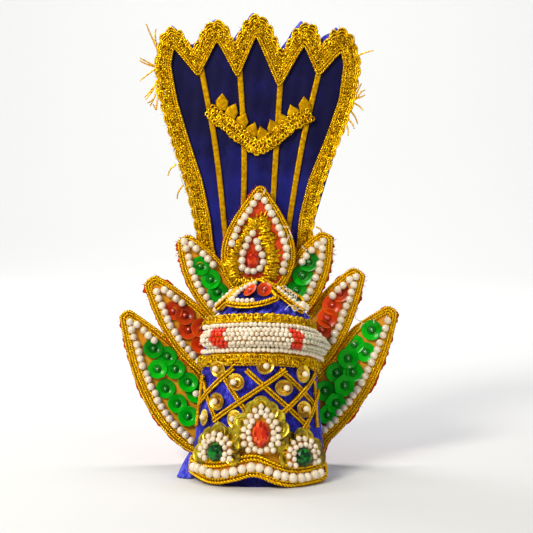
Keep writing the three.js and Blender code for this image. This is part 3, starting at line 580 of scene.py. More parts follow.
discGold = foilGold("discGold", (0.16, 0.1, 0.003), (0.5, 0.36, 0.008), (0.9, 0.68, 0.03), 0.34)
redStone = stone("redStone", (0.26, 0.004, 0.001), (0.6, 0.018, 0.001), (0.92, 0.12, 0.012))
greenStone = stone("greenStone", (0.0, 0.012, 0.001), (0.0, 0.06, 0.004), (0.005, 0.24, 0.015))
whiteThread = plainThread("whiteThread", (0.6, 0.54, 0.44), (0.82, 0.76, 0.66))
blueThread = plainThread("blueThread", (0.03, 0.05, 0.5), (0.25, 0.32, 0.85))
print("finishes ready")

clearance = 0.3  # between pieces that lie on each other


# A row of values and the same row backwards, for the front and back of a sheet
def thereAndBack(values):
    return np.concatenate([values, values[::-1]])


# The cap leans back and its rings tilt up at the front; the dome sits on the wall, a little aside
cap = {
    "lean": np.tan(np.radians(7)), "tilt": np.tan(np.radians(12)), "rollHeight": 53.7, "top": 61.0,
    "heights": [0, 9, 22, 40, 56, 61, 61.3, 64, 68, 72, 76, 79, 80.4],
    "radii": [28.4, 27.3, 25.6, 24, 22.8, 22.2, 22.2, 21.2, 18.4, 14, 8.6, 3.6, 0],
    "domeHeights": [61.3, 62, 63, 64, 68, 72, 75, 77.2, 78],
    "domeRadii": [22, 20.8, 19.5, 18.8, 16.2, 12, 7.4, 3, 0], "domeAside": 1.7, "domeInside": 75.4,
    "cloth": 2.0, "crush": 0.22, "columns": 176, "pleat": 0.25, "pleatTo": 68,
    "tuck": 1.6, "tuckHeight": 5.0, "tuckHalf": 76,
}


# A ring of the cap: (r sin az, lean h - r cos az, h + tilt r cos az), az 0 at the front
def ringPoint(az, height, radius):
    turn = np.radians(az)
    tilt = cap["tilt"] * np.minimum(1, np.asarray(height) / cap["rollHeight"])
    return xyz(radius * np.sin(turn), cap["lean"] * height - radius * np.cos(turn),
               height + tilt * radius * np.cos(turn))


# A place on the cap: on the ring at that height, a little out of the cloth where asked
def capPoint(az, height, proud=0.0):
    return ringPoint(az, height, readSoft(height, cap["heights"], cap["radii"], 1.2) + proud)


# Straight out of the cap: the cross product of the ways round it and up it
def capNormal(az, height):
    level = capPoint(az + 0.5, height) - capPoint(az - 0.5, height)
    up = capPoint(az, np.asarray(height) + 0.5) - capPoint(az, np.asarray(height) - 0.5)
    return unit(np.cross(level, up))


# Velvet wall: outer face up, over the top edge, inner face down and under the rim, turned round the lean;
# then the dome, from under its crown down to its foot and up over the outside, pleated above the foot
def buildCap():
    az = np.arange(cap["columns"])[None] / cap["columns"] * 360
    up = np.linspace(clearance, cap["top"], 44)
    height = np.concatenate([[0, 0], thereAndBack(up)])[:, None]
    proud = np.concatenate([[-1.8, -0.2], 0 * up, 0 * up - cap["cloth"]])[:, None]
    crease = (np.sin(np.radians(az * 5) + height * 0.11) * np.sin(height * 0.23 + np.radians(az * 2))
              + 0.6 * np.sin(np.radians(az * 9) - height * 0.31 + 1.3))
    front = np.clip((cap["tuckHalf"] - np.abs((az + 180) % 360 - 180)) / 10, 0, 1)
    tuck = cap["tuck"] * np.clip(1 - height / cap["tuckHeight"], 0, 1) ** 0.7 * front
    points = capPoint(az, height, proud + (proud == 0) * cap["crush"] * (crease - 1.0) - tuck)
    # Painted light on the crease ridges, painted shade in their hollows and low on the front under the brow
    # band
    tint = np.clip(0.5 + 0.12 * crease - 0.6 * front * np.clip(1 - height / 8, 0, 1), 0, 1)
    addPiece("capWall", [(gridShape(points, closedRows=True, tint=tint), velvet)], ["cap_wall"])
    foot, crown = cap["domeHeights"][0], cap["domeHeights"][-1]
    under = np.linspace(cap["domeInside"], foot, 14)
    over = np.concatenate([np.linspace(foot, crown - 1, 34), [crown - 0.5, crown - 0.1]])
    height = np.concatenate([under, over])[:, None]
    radius = readSoft(height, cap["domeHeights"], cap["domeRadii"], 0.5)
    inner = np.arange(len(height))[:, None] < len(under)
    low = np.clip((cap["pleatTo"] - height) / 4, 0, 1) * np.clip((height - foot + 0.1) / 1.5, 0, 1)
    pleat = (np.sin(np.radians(az * 17) + 1.4 * np.sin(height * 1.3))
             + 0.7 * np.sin(np.radians(az * 31) - height * 1.7)
             + 0.5 * np.sin(np.radians(az * 8) + height * 0.9))
    outer = np.maximum(radius, 0.1) - 0.1 + low * (0.35 + cap["pleat"] * pleat)
    radius = np.where(inner, np.maximum(radius - cap["cloth"], 0.1), outer)
    aside = cap["domeAside"] * np.clip((height - foot) / 3, 0, 1)[..., None] * np.array([1.0, 0, 0])
    # Painted light on the pleats' ridges and painted shade in their hollows
    dome = gridShape(ringPoint(az, height, radius) + aside, tint=np.clip(0.55 + 0.35 * low * pleat, 0, 1))
    addPiece("capDome", [(dome, velvet)], ["cap_dome"])


buildCap()

# Corner of the hem that stands out at the lower left
hem = {"from": -68, "to": -91, "height": 8.6, "flare": 4.4, "thickness": 1.4}


# A strip of the wall that swings out towards its foot: flare sin(pi t) down to nothing at its top
def buildHem():
    t = np.linspace(0, 1, 30)[:, None]
    up = thereAndBack(np.linspace(0, 1, 12))[None]
    back = (np.arange(up.size) < up.size // 2)[None]
    swing = hem["flare"] * np.sin(np.pi * t) ** 0.7 * (1 - up) ** 0.8
    ripple = 0.35 * np.sin(7 * t + 3 * up) * (1 - up)
    proud = clearance + swing + ripple * (t * (1 - t) * 4) + np.where(back, 0, hem["thickness"])
    height = clearance + (hem["height"] - clearance) * up + 0 * t
    az = hem["from"] + (hem["to"] - hem["from"]) * t + 0 * up
    # Painted paler than the rest of the velvet: painted light on the corner
    corner = gridShape(capPoint(az, height, proud), tint=0.85)
    addPiece("hemCorner", [(corner, velvet)], ["hem_flap"])


buildHem()
print("cap ready")

# Padded roll: its beads lie in rows round the section, at these angles from straight out. Two stretches are
# red and its right end is clear. The upper string turns down at the right end.
roll = {
    "from": -62, "to": 84, "drop": 2.6, "out": 2.4, "half": 2.4, "depth": 3.3, "bed": 6.4,
    "rows": [-80, -48, -16, 16, 48, 80], "bead": 1.95, "beadGap": 0.99, "radius": 29.5,
    "redFrom": [-41.5, 27.0], "redTo": [-27.5, 37.0], "redLean": 1.8, "clearFrom": 39,
    "stringRise": [4.85, -4.6], "string": 2.15, "stringOut": 2.7, "turnFrom": 62, "turnDown": 7.0,
}


# Height of the roll, which drops with the square of the angle towards the right
def rollHeight(az):
    return cap["rollHeight"] - roll["drop"] * np.maximum(0, az / roll["to"]) ** 2


# Size of the roll: full, and less in a straight line close to each end
def rollSize(az):
    along = (az - roll["from"]) / (roll["to"] - roll["from"])
    return np.minimum(1, 0.45 + 7 * np.minimum(along, 1 - along))


# A place on the roll: out + depth cos angle, half sin angle, smaller towards both ends
def rollPoint(az, angle, proud=0.0):
    turn = np.radians(angle)
    size = rollSize(az)
    out = clearance + size * (roll["out"] + (roll["depth"] + proud) * np.cos(turn))
    return capPoint(az, rollHeight(az) + size * (roll["half"] + proud) * np.sin(turn), out)


# Pad and its flat bed, rows of seed beads packed in between each other, and two strings along the edges
def buildRoll():
    az = np.linspace(roll["from"], roll["to"], 80)[:, None]
    angle = np.arange(20)[None] / 20 * 360
    bedRise = thereAndBack(roll["bed"] * np.linspace(-1, 1, 9))[None]
    bedOut = np.repeat([1.1, 0.2], 9)[None]
    # The bed and the pad are painted darker: painted shade between the beads
    bed = gridShape(capPoint(az, rollHeight(az) + bedRise * rollSize(az), bedOut), tint=0.25)
    pad = addPiece("rollPad", [(gridShape(rollPoint(az, angle), tint=0.25), goldSatin), (bed, goldSatin)],
                   ["bead_roll"])
    step = np.degrees(roll["bead"] * roll["beadGap"] / roll["radius"])
    count = int((roll["to"] - roll["from"] - 5) / step)
    rows = np.array(roll["rows"], float)[:, None]
    number = np.arange(len(rows))[:, None]
    az = roll["from"] + 2.5 + (np.arange(count)[None] + 0.5 * (number % 2)) * step
    az = np.clip(jittered(az, 0.22), roll["from"] + 1.5, roll["to"] - 1.5)
    angle = rows + random.normal(0, 2.2, az.shape)
    places = rollPoint(az, angle, roll["bead"] * 0.33).reshape(-1, 3)
    az, lean = az.ravel(), (angle / 90 * roll["redLean"]).ravel()
    red = np.zeros(az.size, bool)
    for low, high in zip(roll["redFrom"], roll["redTo"]):
        red |= (az + lean > low) & (az + lean < high)
    clear = az + lean > roll["clearFrom"]
    sizes = roll["bead"] / 2 * random.uniform(0.94, 1.07, az.size) * rollSize(az) ** 0.3
    frames = scattered(capPoint(az + 1, 50.0) - capPoint(az, 50.0), capNormal(az, 53.0), 1, 0.4, 0.6)
    white, clear, red = (copies(ball(), places[which], frames[which], sizes[which])
                         for which in (~red & ~clear, clear, red))
    addPiece("rollBeads", [(white, seedWhite), (clear, seedClear)])
    addPiece("rollRedBeads", [(red, seedRed)])
    strings = []
    az = np.linspace(roll["from"] + 1, roll["to"], 400)
    for rise in roll["stringRise"]:
        turn = np.clip((az - roll["turnFrom"]) / (roll["to"] - roll["turnFrom"]), 0, 1) ** 2 * (rise > 0)
        path = capPoint(az, rollHeight(az) + rise - roll["turnDown"] * turn,
                        roll["stringOut"] + 2.2 * np.sin(np.pi * turn))
        line = jittered(evenly(path, roll["string"] * 0.85)[0], 0.08)
        strings.append(copies(ball(), line, lying(heading(line), (0.0, -1.0, 0.0), 0.8, 0.6),
                              roll["string"] / 2 * random.uniform(0.95, 1.05, len(line))))
    addPiece("rollStrings", [(joined(strings), seedWhite)])


# Gold edgings of the roll: ground, cord laid to and fro, tiers of upright loops (rise and half height),
# small loops along the edge
edgings = {
    "ground": 1.0, "groundPitch": 1.1, "rope": 1.0, "ropePitch": 1.6, "loopPitch": 0.98, "loop": (0.58, 1.1),
    "places": [
        {"name": "rollBraidTop", "node": "roll_braid_top", "rise": 7.5, "width": 2.47, "from": -76, "to": 80,
         "cord": 6.3, "tiers": [(7.3, 1.0)], "picots": 8.4, "picot": 1.05},
        {"name": "rollBraidBottom", "node": "roll_braid_bottom", "rise": -8.0, "width": 3.42, "from": -86,
         "to": 88, "cord": -6.2, "tiers": [(-7.2, 0.9), (-8.6, 0.9)], "picots": -9.6, "picot": 0.7},
    ],
}


# Each row follows the roll at its own rise and distance out of the cap
def buildEdging(edging):
    az = np.linspace(edging["from"], edging["to"], 240)

    # Places along the row and the cap's normals there
    def row(rise, proud):
        height = rollHeight(az) + rise
        return capPoint(az, height, proud), capNormal(az, height)

    ground = meander(*row(edging["rise"], clearance), edging["width"], edgings["groundPitch"],
                     edgings["ground"], 0.1, 0.5)
    cord = rope(*row(edging["cord"], 1.35), edgings["rope"], edgings["ropePitch"])
    parts = [(ground, groundGold), (cord, braidGold)]
    wide, deep = edgings["loop"]
    for rise, half in edging["tiers"]:
        line, _ = evenly(np.hstack(row(rise, 1.4)), edgings["loopPitch"])
        spots = jittered(line[:, :3], 0.12)
        frames = scattered(heading(spots), line[:, 3:], 0, 0.0, 0.45)
        sizes = random.uniform(0.85, 1.2, (len(line), 1)) * np.array([[wide, half, deep]])
        parts.append((copies(loop(0.44), spots, frames, sizes), loopGold))
    line, _ = evenly(np.hstack(row(edging["picots"], 1.1)), edging["picot"] * 2.15)
    frames = scattered(heading(line[:, :3]), line[:, 3:], 0, 0.1, 0.5)
    parts.append((copies(loop(0.6), line[:, :3], frames, edging["picot"]), loopGold))
    addPiece(edging["name"], parts, [edging["node"]])


buildRoll()
for edging in edgings["places"]:
    buildEdging(edging)
print("roll ready")

# Crossed braid strips: start and end of each on the cap in degrees and height, and its layer; then the cup
# sequins between them, each with a pearl that sits towards the cap's side
lattice = {
    "width": 2.3, "thick": 0.4, "cord": 1.12, "cordPitch": 1.7, "over": 0.5,
    "strips": [
        (-12, 41.8, 50, 20, 0), (20, 42, 66, 27, 0), (26, 42, -44, 23, 1), (67, 41, 14, 24, 1),
        (-24, 42.6, -66, 30, 1), (-34, 39, -8, 25, 0), (-70, 40, -38, 21.5, 0), (72, 34, 42, 20, 1),
        (-66, 40, -72, 20, 1), (66, 38, 64, 20, 0),
    ],
    "sequins": [
        (-40.5, 42.3), (-20.6, 37.4), (5.9, 43.2), (22.8, 35.2), (44, 40.4), (-39.6, 30.2), (42.7, 27.4),
        (-54, 24.1), (-20.5, 24.1),
    ],
    "sequin": 3.5, "bead": 1.3, "beadAside": 1.0, "beadOut": 1.35,
}


# A flat strip: a thin closed section, as wide as asked, carried along the path
def strip(path, normals, width, thick):
    side = unit(np.cross(heading(path), normals))
    v = np.linspace(-1, 1, 9)
    across = side[:, None] * (v * width / 2)[None, :, None]
    rise = normals[:, None] * (thick * (1 - 0.4 * v ** 8))[None, :, None]
    over, under = path[:, None] + across + rise, path[:, None] + across[:, ::-1]
    return gridShape(np.concatenate([over, under], axis=1))


# Each strip runs straight in degrees and height: a flat ground with two twisted cords on it
def buildLattice():
    cords, grounds = [], []
    for az0, height0, az1, height1, over in lattice["strips"]:
        t = np.linspace(0, 1, 30)
        az, height = az0 + (az1 - az0) * t, height0 + (height1 - height0) * t
        normals = capNormal(az, height)
        path = capPoint(az, height, 0.2) + normals * (over * lattice["over"])
        side = unit(np.cross(heading(path), normals))
        grounds.append(strip(path, normals, lattice["width"], lattice["thick"]))
        for hand in (-1, 1):
            edge = path + side * (hand * lattice["width"] * 0.27) + normals * 0.45
            cords.append(rope(edge, normals, lattice["cord"], lattice["cordPitch"], hand, 5))
    addPiece("latticeBraid", [(joined(grounds), groundGold), (joined(cords), braidGold)],
             ["lattice_braid"])
    az, height = np.array(lattice["sequins"], float).T
    normals, along = capNormal(az, height), unit(capPoint(az + 1, height) - capPoint(az, height))
    places = capPoint(az, height, 0.7)
    frames = scattered(along, normals, 1, 0.05, 0.2)
    cups = copies(cup(18, 0.36, 0.5), places, frames, np.array([[0.95, 1.08, 1]]) * lattice["sequin"])
    aside = along * (lattice["beadAside"] * np.clip(az / 20, -1, 1))[:, None]
    beads = copies(ball(7, 12), places + normals * lattice["beadOut"] + aside, frames, lattice["bead"])
    addPiece("latticeSequins", [(cups, cupGold), (beads, pearl)])


buildLattice()
print("lattice ready")

# Brow band: heights of its edges and its row of pearls round the front of the cap, and the satin bed above
brow = {
    "az": [-66, -56, -45, -35, -26, -16, -4, 6, 14, 26, 42, 52, 62],
    "low": [3.2, 2.7, 1.5, 1.1, 1.9, 3.2, 5.2, 3.3, 1.6, 0.5, 0.3, 0.6, 1.6],
    "high": [9.2, 8.6, 8.3, 8.4, 9.3, 10.6, 12.0, 10.4, 8.4, 6.8, 6.8, 7.2, 7.8],
    "pearls": [6.2, 6.0, 5.6, 4.5, 5.0, 6.5, 8.3, 6.7, 5.0, 3.5, 3.5, 4.1, 4.6],
    "thick": 2.0, "rope": 1.6, "ropePitch": 2.7, "ropeEnd": 1.5, "bow": 2.6,
    "pearl": 3.75, "pearlFrom": -57.0, "pearlTo": 51.0, "bedFrom": -58, "bedTo": 56, "bedUp": 5.5,
}


# An edge of the band at an angle, read softly from its table
def browEdge(az, key):
    return readSoft(az, brow["az"], brow[key], 5)


# Band between its two edges, ropes along both, closed round the ends, and one row of large pearls
def buildBrow():
    share = thereAndBack(np.linspace(0, 1, 9))[None]
    face = np.arange(share.size)[None] < share.size // 2
    front = clearance + brow["thick"]
    az = np.linspace(brow["az"][0], brow["az"][-1], 120)[:, None]
    height = browEdge(az, "low") + (browEdge(az, "high") - browEdge(az, "low")) * share
    # The band is painted darker: painted shade under its ropes and pearls
    band = gridShape(capPoint(az, height, np.where(face, front, clearance)), tint=0.3)
    az = np.linspace(brow["bedFrom"], brow["bedTo"], 90)[:, None]
    height = browEdge(az, "high") - 0.5 + brow["bedUp"] * share
    bed = gridShape(capPoint(az, height, np.where(face, 0.9, 0.2)))
    addPiece("browBand", [(band, goldSatin), (bed, goldSatin)], ["brow_band"])
    az = np.linspace(brow["az"][0] + brow["ropeEnd"], brow["az"][-1] - brow["ropeEnd"], 300)
    low, high = browEdge(az, "low"), browEdge(az, "high")
    rows = [(high, 0.25, 1), (high - 1.4, 0.45, -1), (np.maximum(low + 0.15, 0.9), 0.25, -1),
            (np.maximum(low + 1.5, 2.2), 0.45, 1)]
    ropes = [rope(capPoint(az, height, front + out), capNormal(az, height), brow["rope"],
                  brow["ropePitch"], hand) for height, out, hand in rows]
    bend = np.linspace(0, np.pi, 24)
    for end, turn in ((0, 1), (-1, -1)):
        middle, half = (low[end] + high[end]) / 2, (high[end] - low[end]) / 2
        for scale, hand in ((1.0, turn), (0.62, -turn)):
            swing = az[end] - turn * brow["bow"] * scale * np.sin(bend)
            bow = capPoint(swing, middle + half * scale * np.cos(bend), front + 0.3)
            ropes.append(rope(bow, capNormal(az[end], middle), brow["rope"], brow["ropePitch"], hand))
    addPiece("browBraid", [(joined(ropes), braidGold)], ["brow_braid"])
    az = np.linspace(brow["pearlFrom"], brow["pearlTo"], 300)
    line, _ = evenly(capPoint(az, browEdge(az, "pearls"), front + 1.5), brow["pearl"] * 0.95)
    beads = pearls(jittered(line, 0.16), brow["pearl"], 0.94, 1.06, 9, 16)
    addPiece("browPearls", [(beads, pearl)], ["brow_pearls"])


buildBrow()
print("brow band ready")

# Rosettes: place on the cap, half sizes of the stone, how low the ornament may come, how far its rings
# come to a point at the top, count of foil discs
rosettes = {
    "lift": 1.6, "disc": 3.9, "pearl": 2.45, "ring": 1.4, "pitch": 2.15, "stoneHeight": 3.0, "bud": 0.72,
    "places": [
        {"name": "Centre", "at": (1.7, 18.7), "half": (3.5, 5.3), "floor": -7.4, "point": 1.9, "discs": 11,
         "finish": redStone, "slot": "red_stone"},
        {"name": "Left", "at": (-35, 11.7), "half": (3.8, 3.8), "floor": -3.2, "point": 0, "discs": 9,
         "finish": greenStone, "slot": "green_stone"},
        {"name": "Right", "at": (36, 9.8), "half": (3.8, 4.0), "floor": -3.2, "point": 0, "discs": 9,
         "finish": greenStone, "slot": "green_stone"},
    ],
}


# Axes on the cap: round it, up it and out of it
def capAxes(az, height):
    z = capNormal(az, height)
    x = unit(capPoint(az + 0.5, height) - capPoint(az - 0.5, height))
    return np.stack([x, np.cross(z, x), z], axis=-1)


# Rings of beads on ellipses round the stone; fanned foil discs behind them; gold beads outside
def buildRosette(rosette):
    axes, middle = capAxes(*rosette["at"]), capPoint(*rosette["at"])
    (halfX, halfY), floor, discs = rosette["half"], rosette["floor"], rosette["discs"]
    lift, reach = rosettes["lift"], rosettes["ring"] + rosettes["pitch"]
    name, nodeName = f"rosette{rosette['name']}", f"rosette_{rosette['name'].lower()}"

    # From the rosette's own axes to the cap
    def place(points):
        return np.asarray(points, float) @ axes.T + middle

    # An ellipse outside the stone, drawn up to a peak by sin to the eighth power
    def ellipse(grow, out, turn):
        peak = rosette["point"] * np.clip(np.sin(turn), 0, 1) ** 8
        return xyz((halfX + grow) * np.cos(turn) * (1 - 0.1 * peak),
                   (halfY + grow) * np.sin(turn) + peak, out)

    turn = np.linspace(-0.22, 1.22, discs) * np.pi + random.normal(0, 0.05, discs)
    spots = ellipse(reach + 0.7, lift + 0.28 * (np.arange(discs) * 2 % 3), turn)
    spots = spots[spots[:, 1] > floor + 1.5]
    frames = scattered(np.tile([1.0, 0, 0], (len(spots), 1)), (0, 0, 1.0), 1, 0.04, 0.2)
    foil = copies(cup(20, 0.07, 0.8), place(spots), np.einsum("ij,njk->nik", axes, frames),
                  rosettes["disc"] * random.uniform(0.9, 1.06, len(spots)))
    turn = around(40)
    share = np.linspace(0.02, 1, 6)[:, None]
    bedX = (halfX + reach + 0.3) * share * np.cos(turn)
    bedY = np.maximum((halfY + reach + 0.3) * share * np.sin(turn), floor - 0.6)
    top = xyz(bedX, bedY, lift + 1.1 - 0.5 * share ** 4)
    low = xyz(bedX[::-1], bedY[::-1], lift - 0.6)
    # The bed is painted darker: painted shade under the discs and pearls
    bed = gridShape(place(np.concatenate([top, low])), tint=0.3)
    addPiece(f"{name}Sequins", [(foil, discGold), (bed, goldSatin)], [f"{nodeName}_sequins"])
    beads = []
    for row, gap in ((0, 0.97), (1, 1.22)):
        path = ellipse(rosettes["ring"] + row * rosettes["pitch"], lift + 2.0 - 0.3 * row,
                       np.linspace(-0.5, 1.5, 240) * np.pi)
        path = path[path[:, 1] > floor + 0.6 + 0.5 * row]
        line = jittered(evenly(path, rosettes["pearl"] * gap)[0], 0.13)
        beads.append(pearls(place(line), rosettes["pearl"], 0.92, 1.05))
    away = unit(line * [1, 1, 0])
    buds = copies(ball(), place(line + away * 1.15 - [0, 0, 0.55]), None, rosettes["bud"])
    addPiece(f"{name}Pearls", [(joined(beads), pearl), (buds, loopGold)], [f"{nodeName}_pearls"])
    gem = cutStone(halfX, halfY, rosettes["stoneHeight"])
    gem["points"] = place(gem["points"] + [0, 0, lift + 0.9])
    addPiece(f"{name}Stone", [(gem, rosette["finish"])], [f"{nodeName}_stone"],
             smooth=False)


for rosette in rosettes["places"]:
    buildRosette(rosette)
print("rosettes ready")

# Small flat petals on the dome: two corners of the base and the apex, how far each side bows out, which
# shares of the way round carry pearls, sequins by their share along the base, share up and tilt, and large
# beads by the same shares and their size
domePetals = {
    "ground": 0.8, "rope": 1.9, "ropePitch": 2.5, "ropeInset": 0.9, "pearl": 2.2, "pearlInset": 2.7,
    "sequin": 3.2, "stud": 0.7, "corner": 14,
    "places": [
        {"name": "Left", "corners": [(-17.2, -3, 67.6), (-7, 2, 76.8), (-15, 7, 70.5)], "bow": (0.5, 1, 1),
         "runs": [(0.03, 0.4)], "field": greenSatin, "tint": 0.5, "discs": [], "large": []},
        {"name": "Right", "corners": [(1.4, 1.5, 79), (17.4, -7.8, 66.8), (17.5, 7, 71.2)],
         "bow": (1.2, 1, 1), "runs": [(0.1, 0.36)], "field": greenSatin, "tint": 0.5, "discs": [],
         "large": [(0.84, 0.22, 1.9), (0.9, 0.3, 1.5)]},
        {"name": "Front", "corners": [(-13.9, -7, 70.4), (8.4, -10.5, 73), (1, 1.5, 80)],
         "bow": (3.2, 0.6, 3.2), "runs": [(0.0, 0.25), (0.7, 1)], "field": velvet, "tint": 0.0,
         "discs": [(0.42, 0.4, 0.7), (0.68, 0.38, 0.1)], "large": []},
    ],
}


# Outline of a flat petal: sides bowed by 4 b t (1 - t), corners eased, moved in by an inset and then out
def domePetalLine(petal, normal, inset, out):
    corners = np.array(petal["corners"], float)
    t = np.linspace(0, 1, 40, endpoint=False)[:, None]
    sides = [p + t * (q - p) + 4 * bow * t * (1 - t) * unit(np.cross(q - p, normal))
             for p, q, bow in zip(corners, np.roll(corners, -1, axis=0), petal["bow"])]
    path = softened(evenly(np.concatenate(sides), 0.35, closed=True)[0], domePetals["corner"], closed=True)
    return path - unit(np.cross(heading(path, closed=True), normal)) * inset + normal * out


# Ground from the middle out to the outline, cord and pearls along it, beads and discs inside it
def buildDomePetal(petal):
    name = f"domePetal{petal['name']}"
    a, b, c = np.array(petal["corners"], float)
    normal = unit(np.cross(b - a, c - a))

    # A share along the base and a share up to the apex
    def spot(along, up, out):
        return a + (b - a) * along + (c - (a + b) / 2) * up + normal * out

    edge = domePetalLine(petal, normal, 0.2, 0.0)
    middle = edge.mean(axis=0)
    low = middle + (edge - middle) * np.linspace(0.02, 1, 8)[:, None, None]
    ground = gridShape(np.concatenate([low + normal * domePetals["ground"], low[::-1]]), tint=petal["tint"])
    rim = tube(edge + normal * domePetals["ground"] / 2, 0.5, normal, 6, closed=True)
    addPiece(f"{name}Ground", [(ground, petal["field"]), (rim, braidGold)],
             [f"dome_petal_{petal['name'].lower()}"])
    cord = rope(domePetalLine(petal, normal, domePetals["ropeInset"], 1.3), normal, domePetals["rope"],
                domePetals["ropePitch"], closed=True)
    addPiece(f"{name}Braid", [(cord, braidGold)])
    line = domePetalLine(petal, normal, domePetals["pearlInset"], 1.8)
    line, _ = evenly(line, domePetals["pearl"] * 0.95, closed=True)
    share = np.arange(len(line)) / len(line)
    line = line[np.any([(share >= low) & (share < high) for low, high in petal["runs"]], axis=0)]
    beads = [pearls(line, domePetals["pearl"], 0.92, 1.06)]
    beads += [copies(ball(7, 12), spot(along, up, 2.2), None, size) for along, up, size in petal["large"]]
    addPiece(f"{name}Pearls", [(joined(beads), pearl)])
    if petal["discs"]:
        spots = np.array([spot(along, up, 2.0) for along, up, _ in petal["discs"]])
        tilt = np.array([tilt for _, _, tilt in petal["discs"]])
        facing = np.tile(unit(normal + np.array([0, -1.0, 0.0])), (len(tilt), 1))
        frames = lying(np.tile([1.0, 0, 0], (len(tilt), 1)), facing, 0.4, tilt, 2.4)
        discs = copies(cup(18), spots, frames, domePetals["sequin"])
        studs = copies(ball(), spots + frames[:, :, 2] * 0.5, None, domePetals["stud"])
        addPiece(f"{name}Sequins", [(discs, redSequin), (studs, redStud)])


for petal in domePetals["places"]:
    buildDomePetal(petal)
print("dome petals ready")

# Petals and fan are laid out on a board that leans back behind the cap: x, distance up it and out of it
board = {"lean": np.radians(5), "front": 26.3}
boardAxes = np.array([[1, 0, 0], [0, np.sin(board["lean"]), -np.cos(board["lean"])],
                      [0, np.cos(board["lean"]), np.sin(board["lean"])]])
boardOut = boardAxes[:, 2]


# A place on the board by its own axes
def onBoard(x, up, out):
    return xyz(x, up, out) @ boardAxes.T + np.array([0, board["front"], 0])


# Each petal has a root and a tip on the board, half widths at root and tip, how they taper and bulge, where
# its pearls start on the outer and inner side as shares of the length, how far the tip of their string is
# pushed up and how far in they lie, how much felt shows on the outer and inner side, and sequins by their
# distance along and across, from the lowest layer up. What "usual" holds is for each row that says nothing
# else: stand-off, turn about its own length, how far the outer side runs on below the root and how wide it
# ends there, extra width of the inner side at the quarters, insets of the cords (a fourth runs up the outer
# side only), how far before the tip the outer pearls end, which sequins are six-sided (and painted paler),
# how much painted light or shade lies on all the sequins of the petal.
petals = {
    "tipRound": 1.6, "skew": 0.8, "face": 1.0, "rope": 1.22, "ropePitch": 2.1, "pearl": 3.35,
    "pearlGap": 0.94, "pearlStep": 0.15, "sequin": 4.4, "stud": 1.0, "layer": 0.17, "feltUnder": 0.2,
    "ragged": 0.75, "fibres": 60, "bright": np.radians(225),
    "colours": {"green": (greenSequin, greenStud), "red": (redSequin, redStud)},
    "usual": {"lift": 4.4, "shingle": np.radians(12), "heel": (0, 0), "inner": (0, 0, 0, 0, 0),
              "ropes": (0.6, 1.7, 2.8), "tipFree": 0, "sequins": [], "odd": (), "glow": 0},
    "places": [
        {"name": ("Centre",), "root": (-1, 72.8), "tip": (0.5, 116.8), "lift": 7.3, "shingle": 0,
         "half": (9, 2.5), "taper": 2, "bulge": 8, "runs": (0.46, 0.2), "push": 1.5, "pearlInset": 4.2,
         "ropes": (0.6, 1.75, 2.9), "felt": (0.3, 0.3)},
        {"name": ("Left", "Upper"), "root": (-14.3, 66), "tip": (-32.4, 95), "lift": 4.8,
         "half": (8.2, 3.6), "taper": 3, "bulge": 1.6, "runs": (0.05, 0.54), "push": 2.6, "pearlInset": 4.1,
         "felt": (0.2, 0.1), "colour": "green", "sequins": [(21, 0.2), (13.9, -0.6), (7.7, -0.2)]},
        {"name": ("Right", "Upper"), "root": (15, 67.6), "tip": (28.7, 96.5), "lift": 4.8,
         "half": (7.4, 3.6), "taper": 3, "bulge": 1.6, "runs": (0.05, 0.55), "push": 1.2, "pearlInset": 4.6,
         "inner": (0.4, 0.8, 0.8, 0.8, 0), "felt": (0.55, 0.1), "colour": "green",
         "sequins": [(19, -1.8), (12.6, -1.7), (5.7, -1.3)], "glow": -0.3},
        {"name": ("Left", "Middle"), "root": (-20.4, 44.9), "tip": (-46.6, 77.2),
         "half": (9.2, 3.8), "taper": 2, "bulge": 2, "runs": (0.06, 0.58), "push": 0, "pearlInset": 4.2,
         "heel": (2.5, 9.2), "felt": (0.3, 0.1), "colour": "red",
         "sequins": [(25.9, 0.7), (21.2, -2.1), (15.5, 0.6), (7.3, 0.5), (12.8, -3.9)]},
        {"name": ("Right", "Middle"), "root": (20.6, 44.4), "tip": (42.3, 80.8),
         "half": (8.2, 3.8), "taper": 2, "bulge": 2, "runs": (0.06, 0.61), "push": 1.6, "pearlInset": 4.3,
         "inner": (0.4, 0.8, 0.8, 0.8, 0), "felt": (0.55, 0.1), "colour": "red",
         "sequins": [(31.3, -2), (25.1, -2.4), (19.2, -1.1), (13.6, -0.4), (8, -5)]},
        {"name": ("Left", "Lower"), "root": (-25.2, 13.6), "tip": (-57.4, 63), "lift": 4.2,
         "half": (11.4, 3.2), "taper": 2, "bulge": 3.6, "runs": (-0.02, 0.71), "push": 3.8,
         "pearlInset": 5.2, "heel": (10.4, 5.2), "ropes": (0.6, 1.7, 2.8, 3.9), "felt": (0.45, 0.1),
         "colour": "green",
         "sequins": [(14.4, -6.9), (23.1, 3.1), (34.4, -5), (40.3, -1.8), (27.9, -4.8), (32, 1.5),
                     (20.1, -6.4), (15.1, 2.5), (8.1, 1.6)]},
        {"name": ("Right", "Lower"), "root": (23.1, 13.4), "tip": (56.8, 64.6), "lift": 4.2,
         "half": (8.4, 3.2), "taper": 3.6, "bulge": 3.2, "runs": (0.0, 2), "push": 5, "pearlInset": 5.0,
         "heel": (6.6, 10), "inner": (2, 2.3, -0.2, 1.9, 0), "ropes": (0.6, 1.7, 2.8, 3.8), "tipFree": 2.4,
         "felt": (0.6, 0.1), "colour": "green", "odd": (7, 8, 9), "glow": 0.25,
         "sequins": [(40.6, -5.2), (30.3, 0.8), (26.2, -5), (40.4, 0.6), (34.1, -4.2), (49.7, -2.4),
                     (17, -4.9), (23.6, 1), (15.2, 2.1), (9.2, 1.9)]},
    ],
}
petalRows = [{**petals["usual"], **row, "side": np.sign(row["root"][0])} for row in petals["places"]]


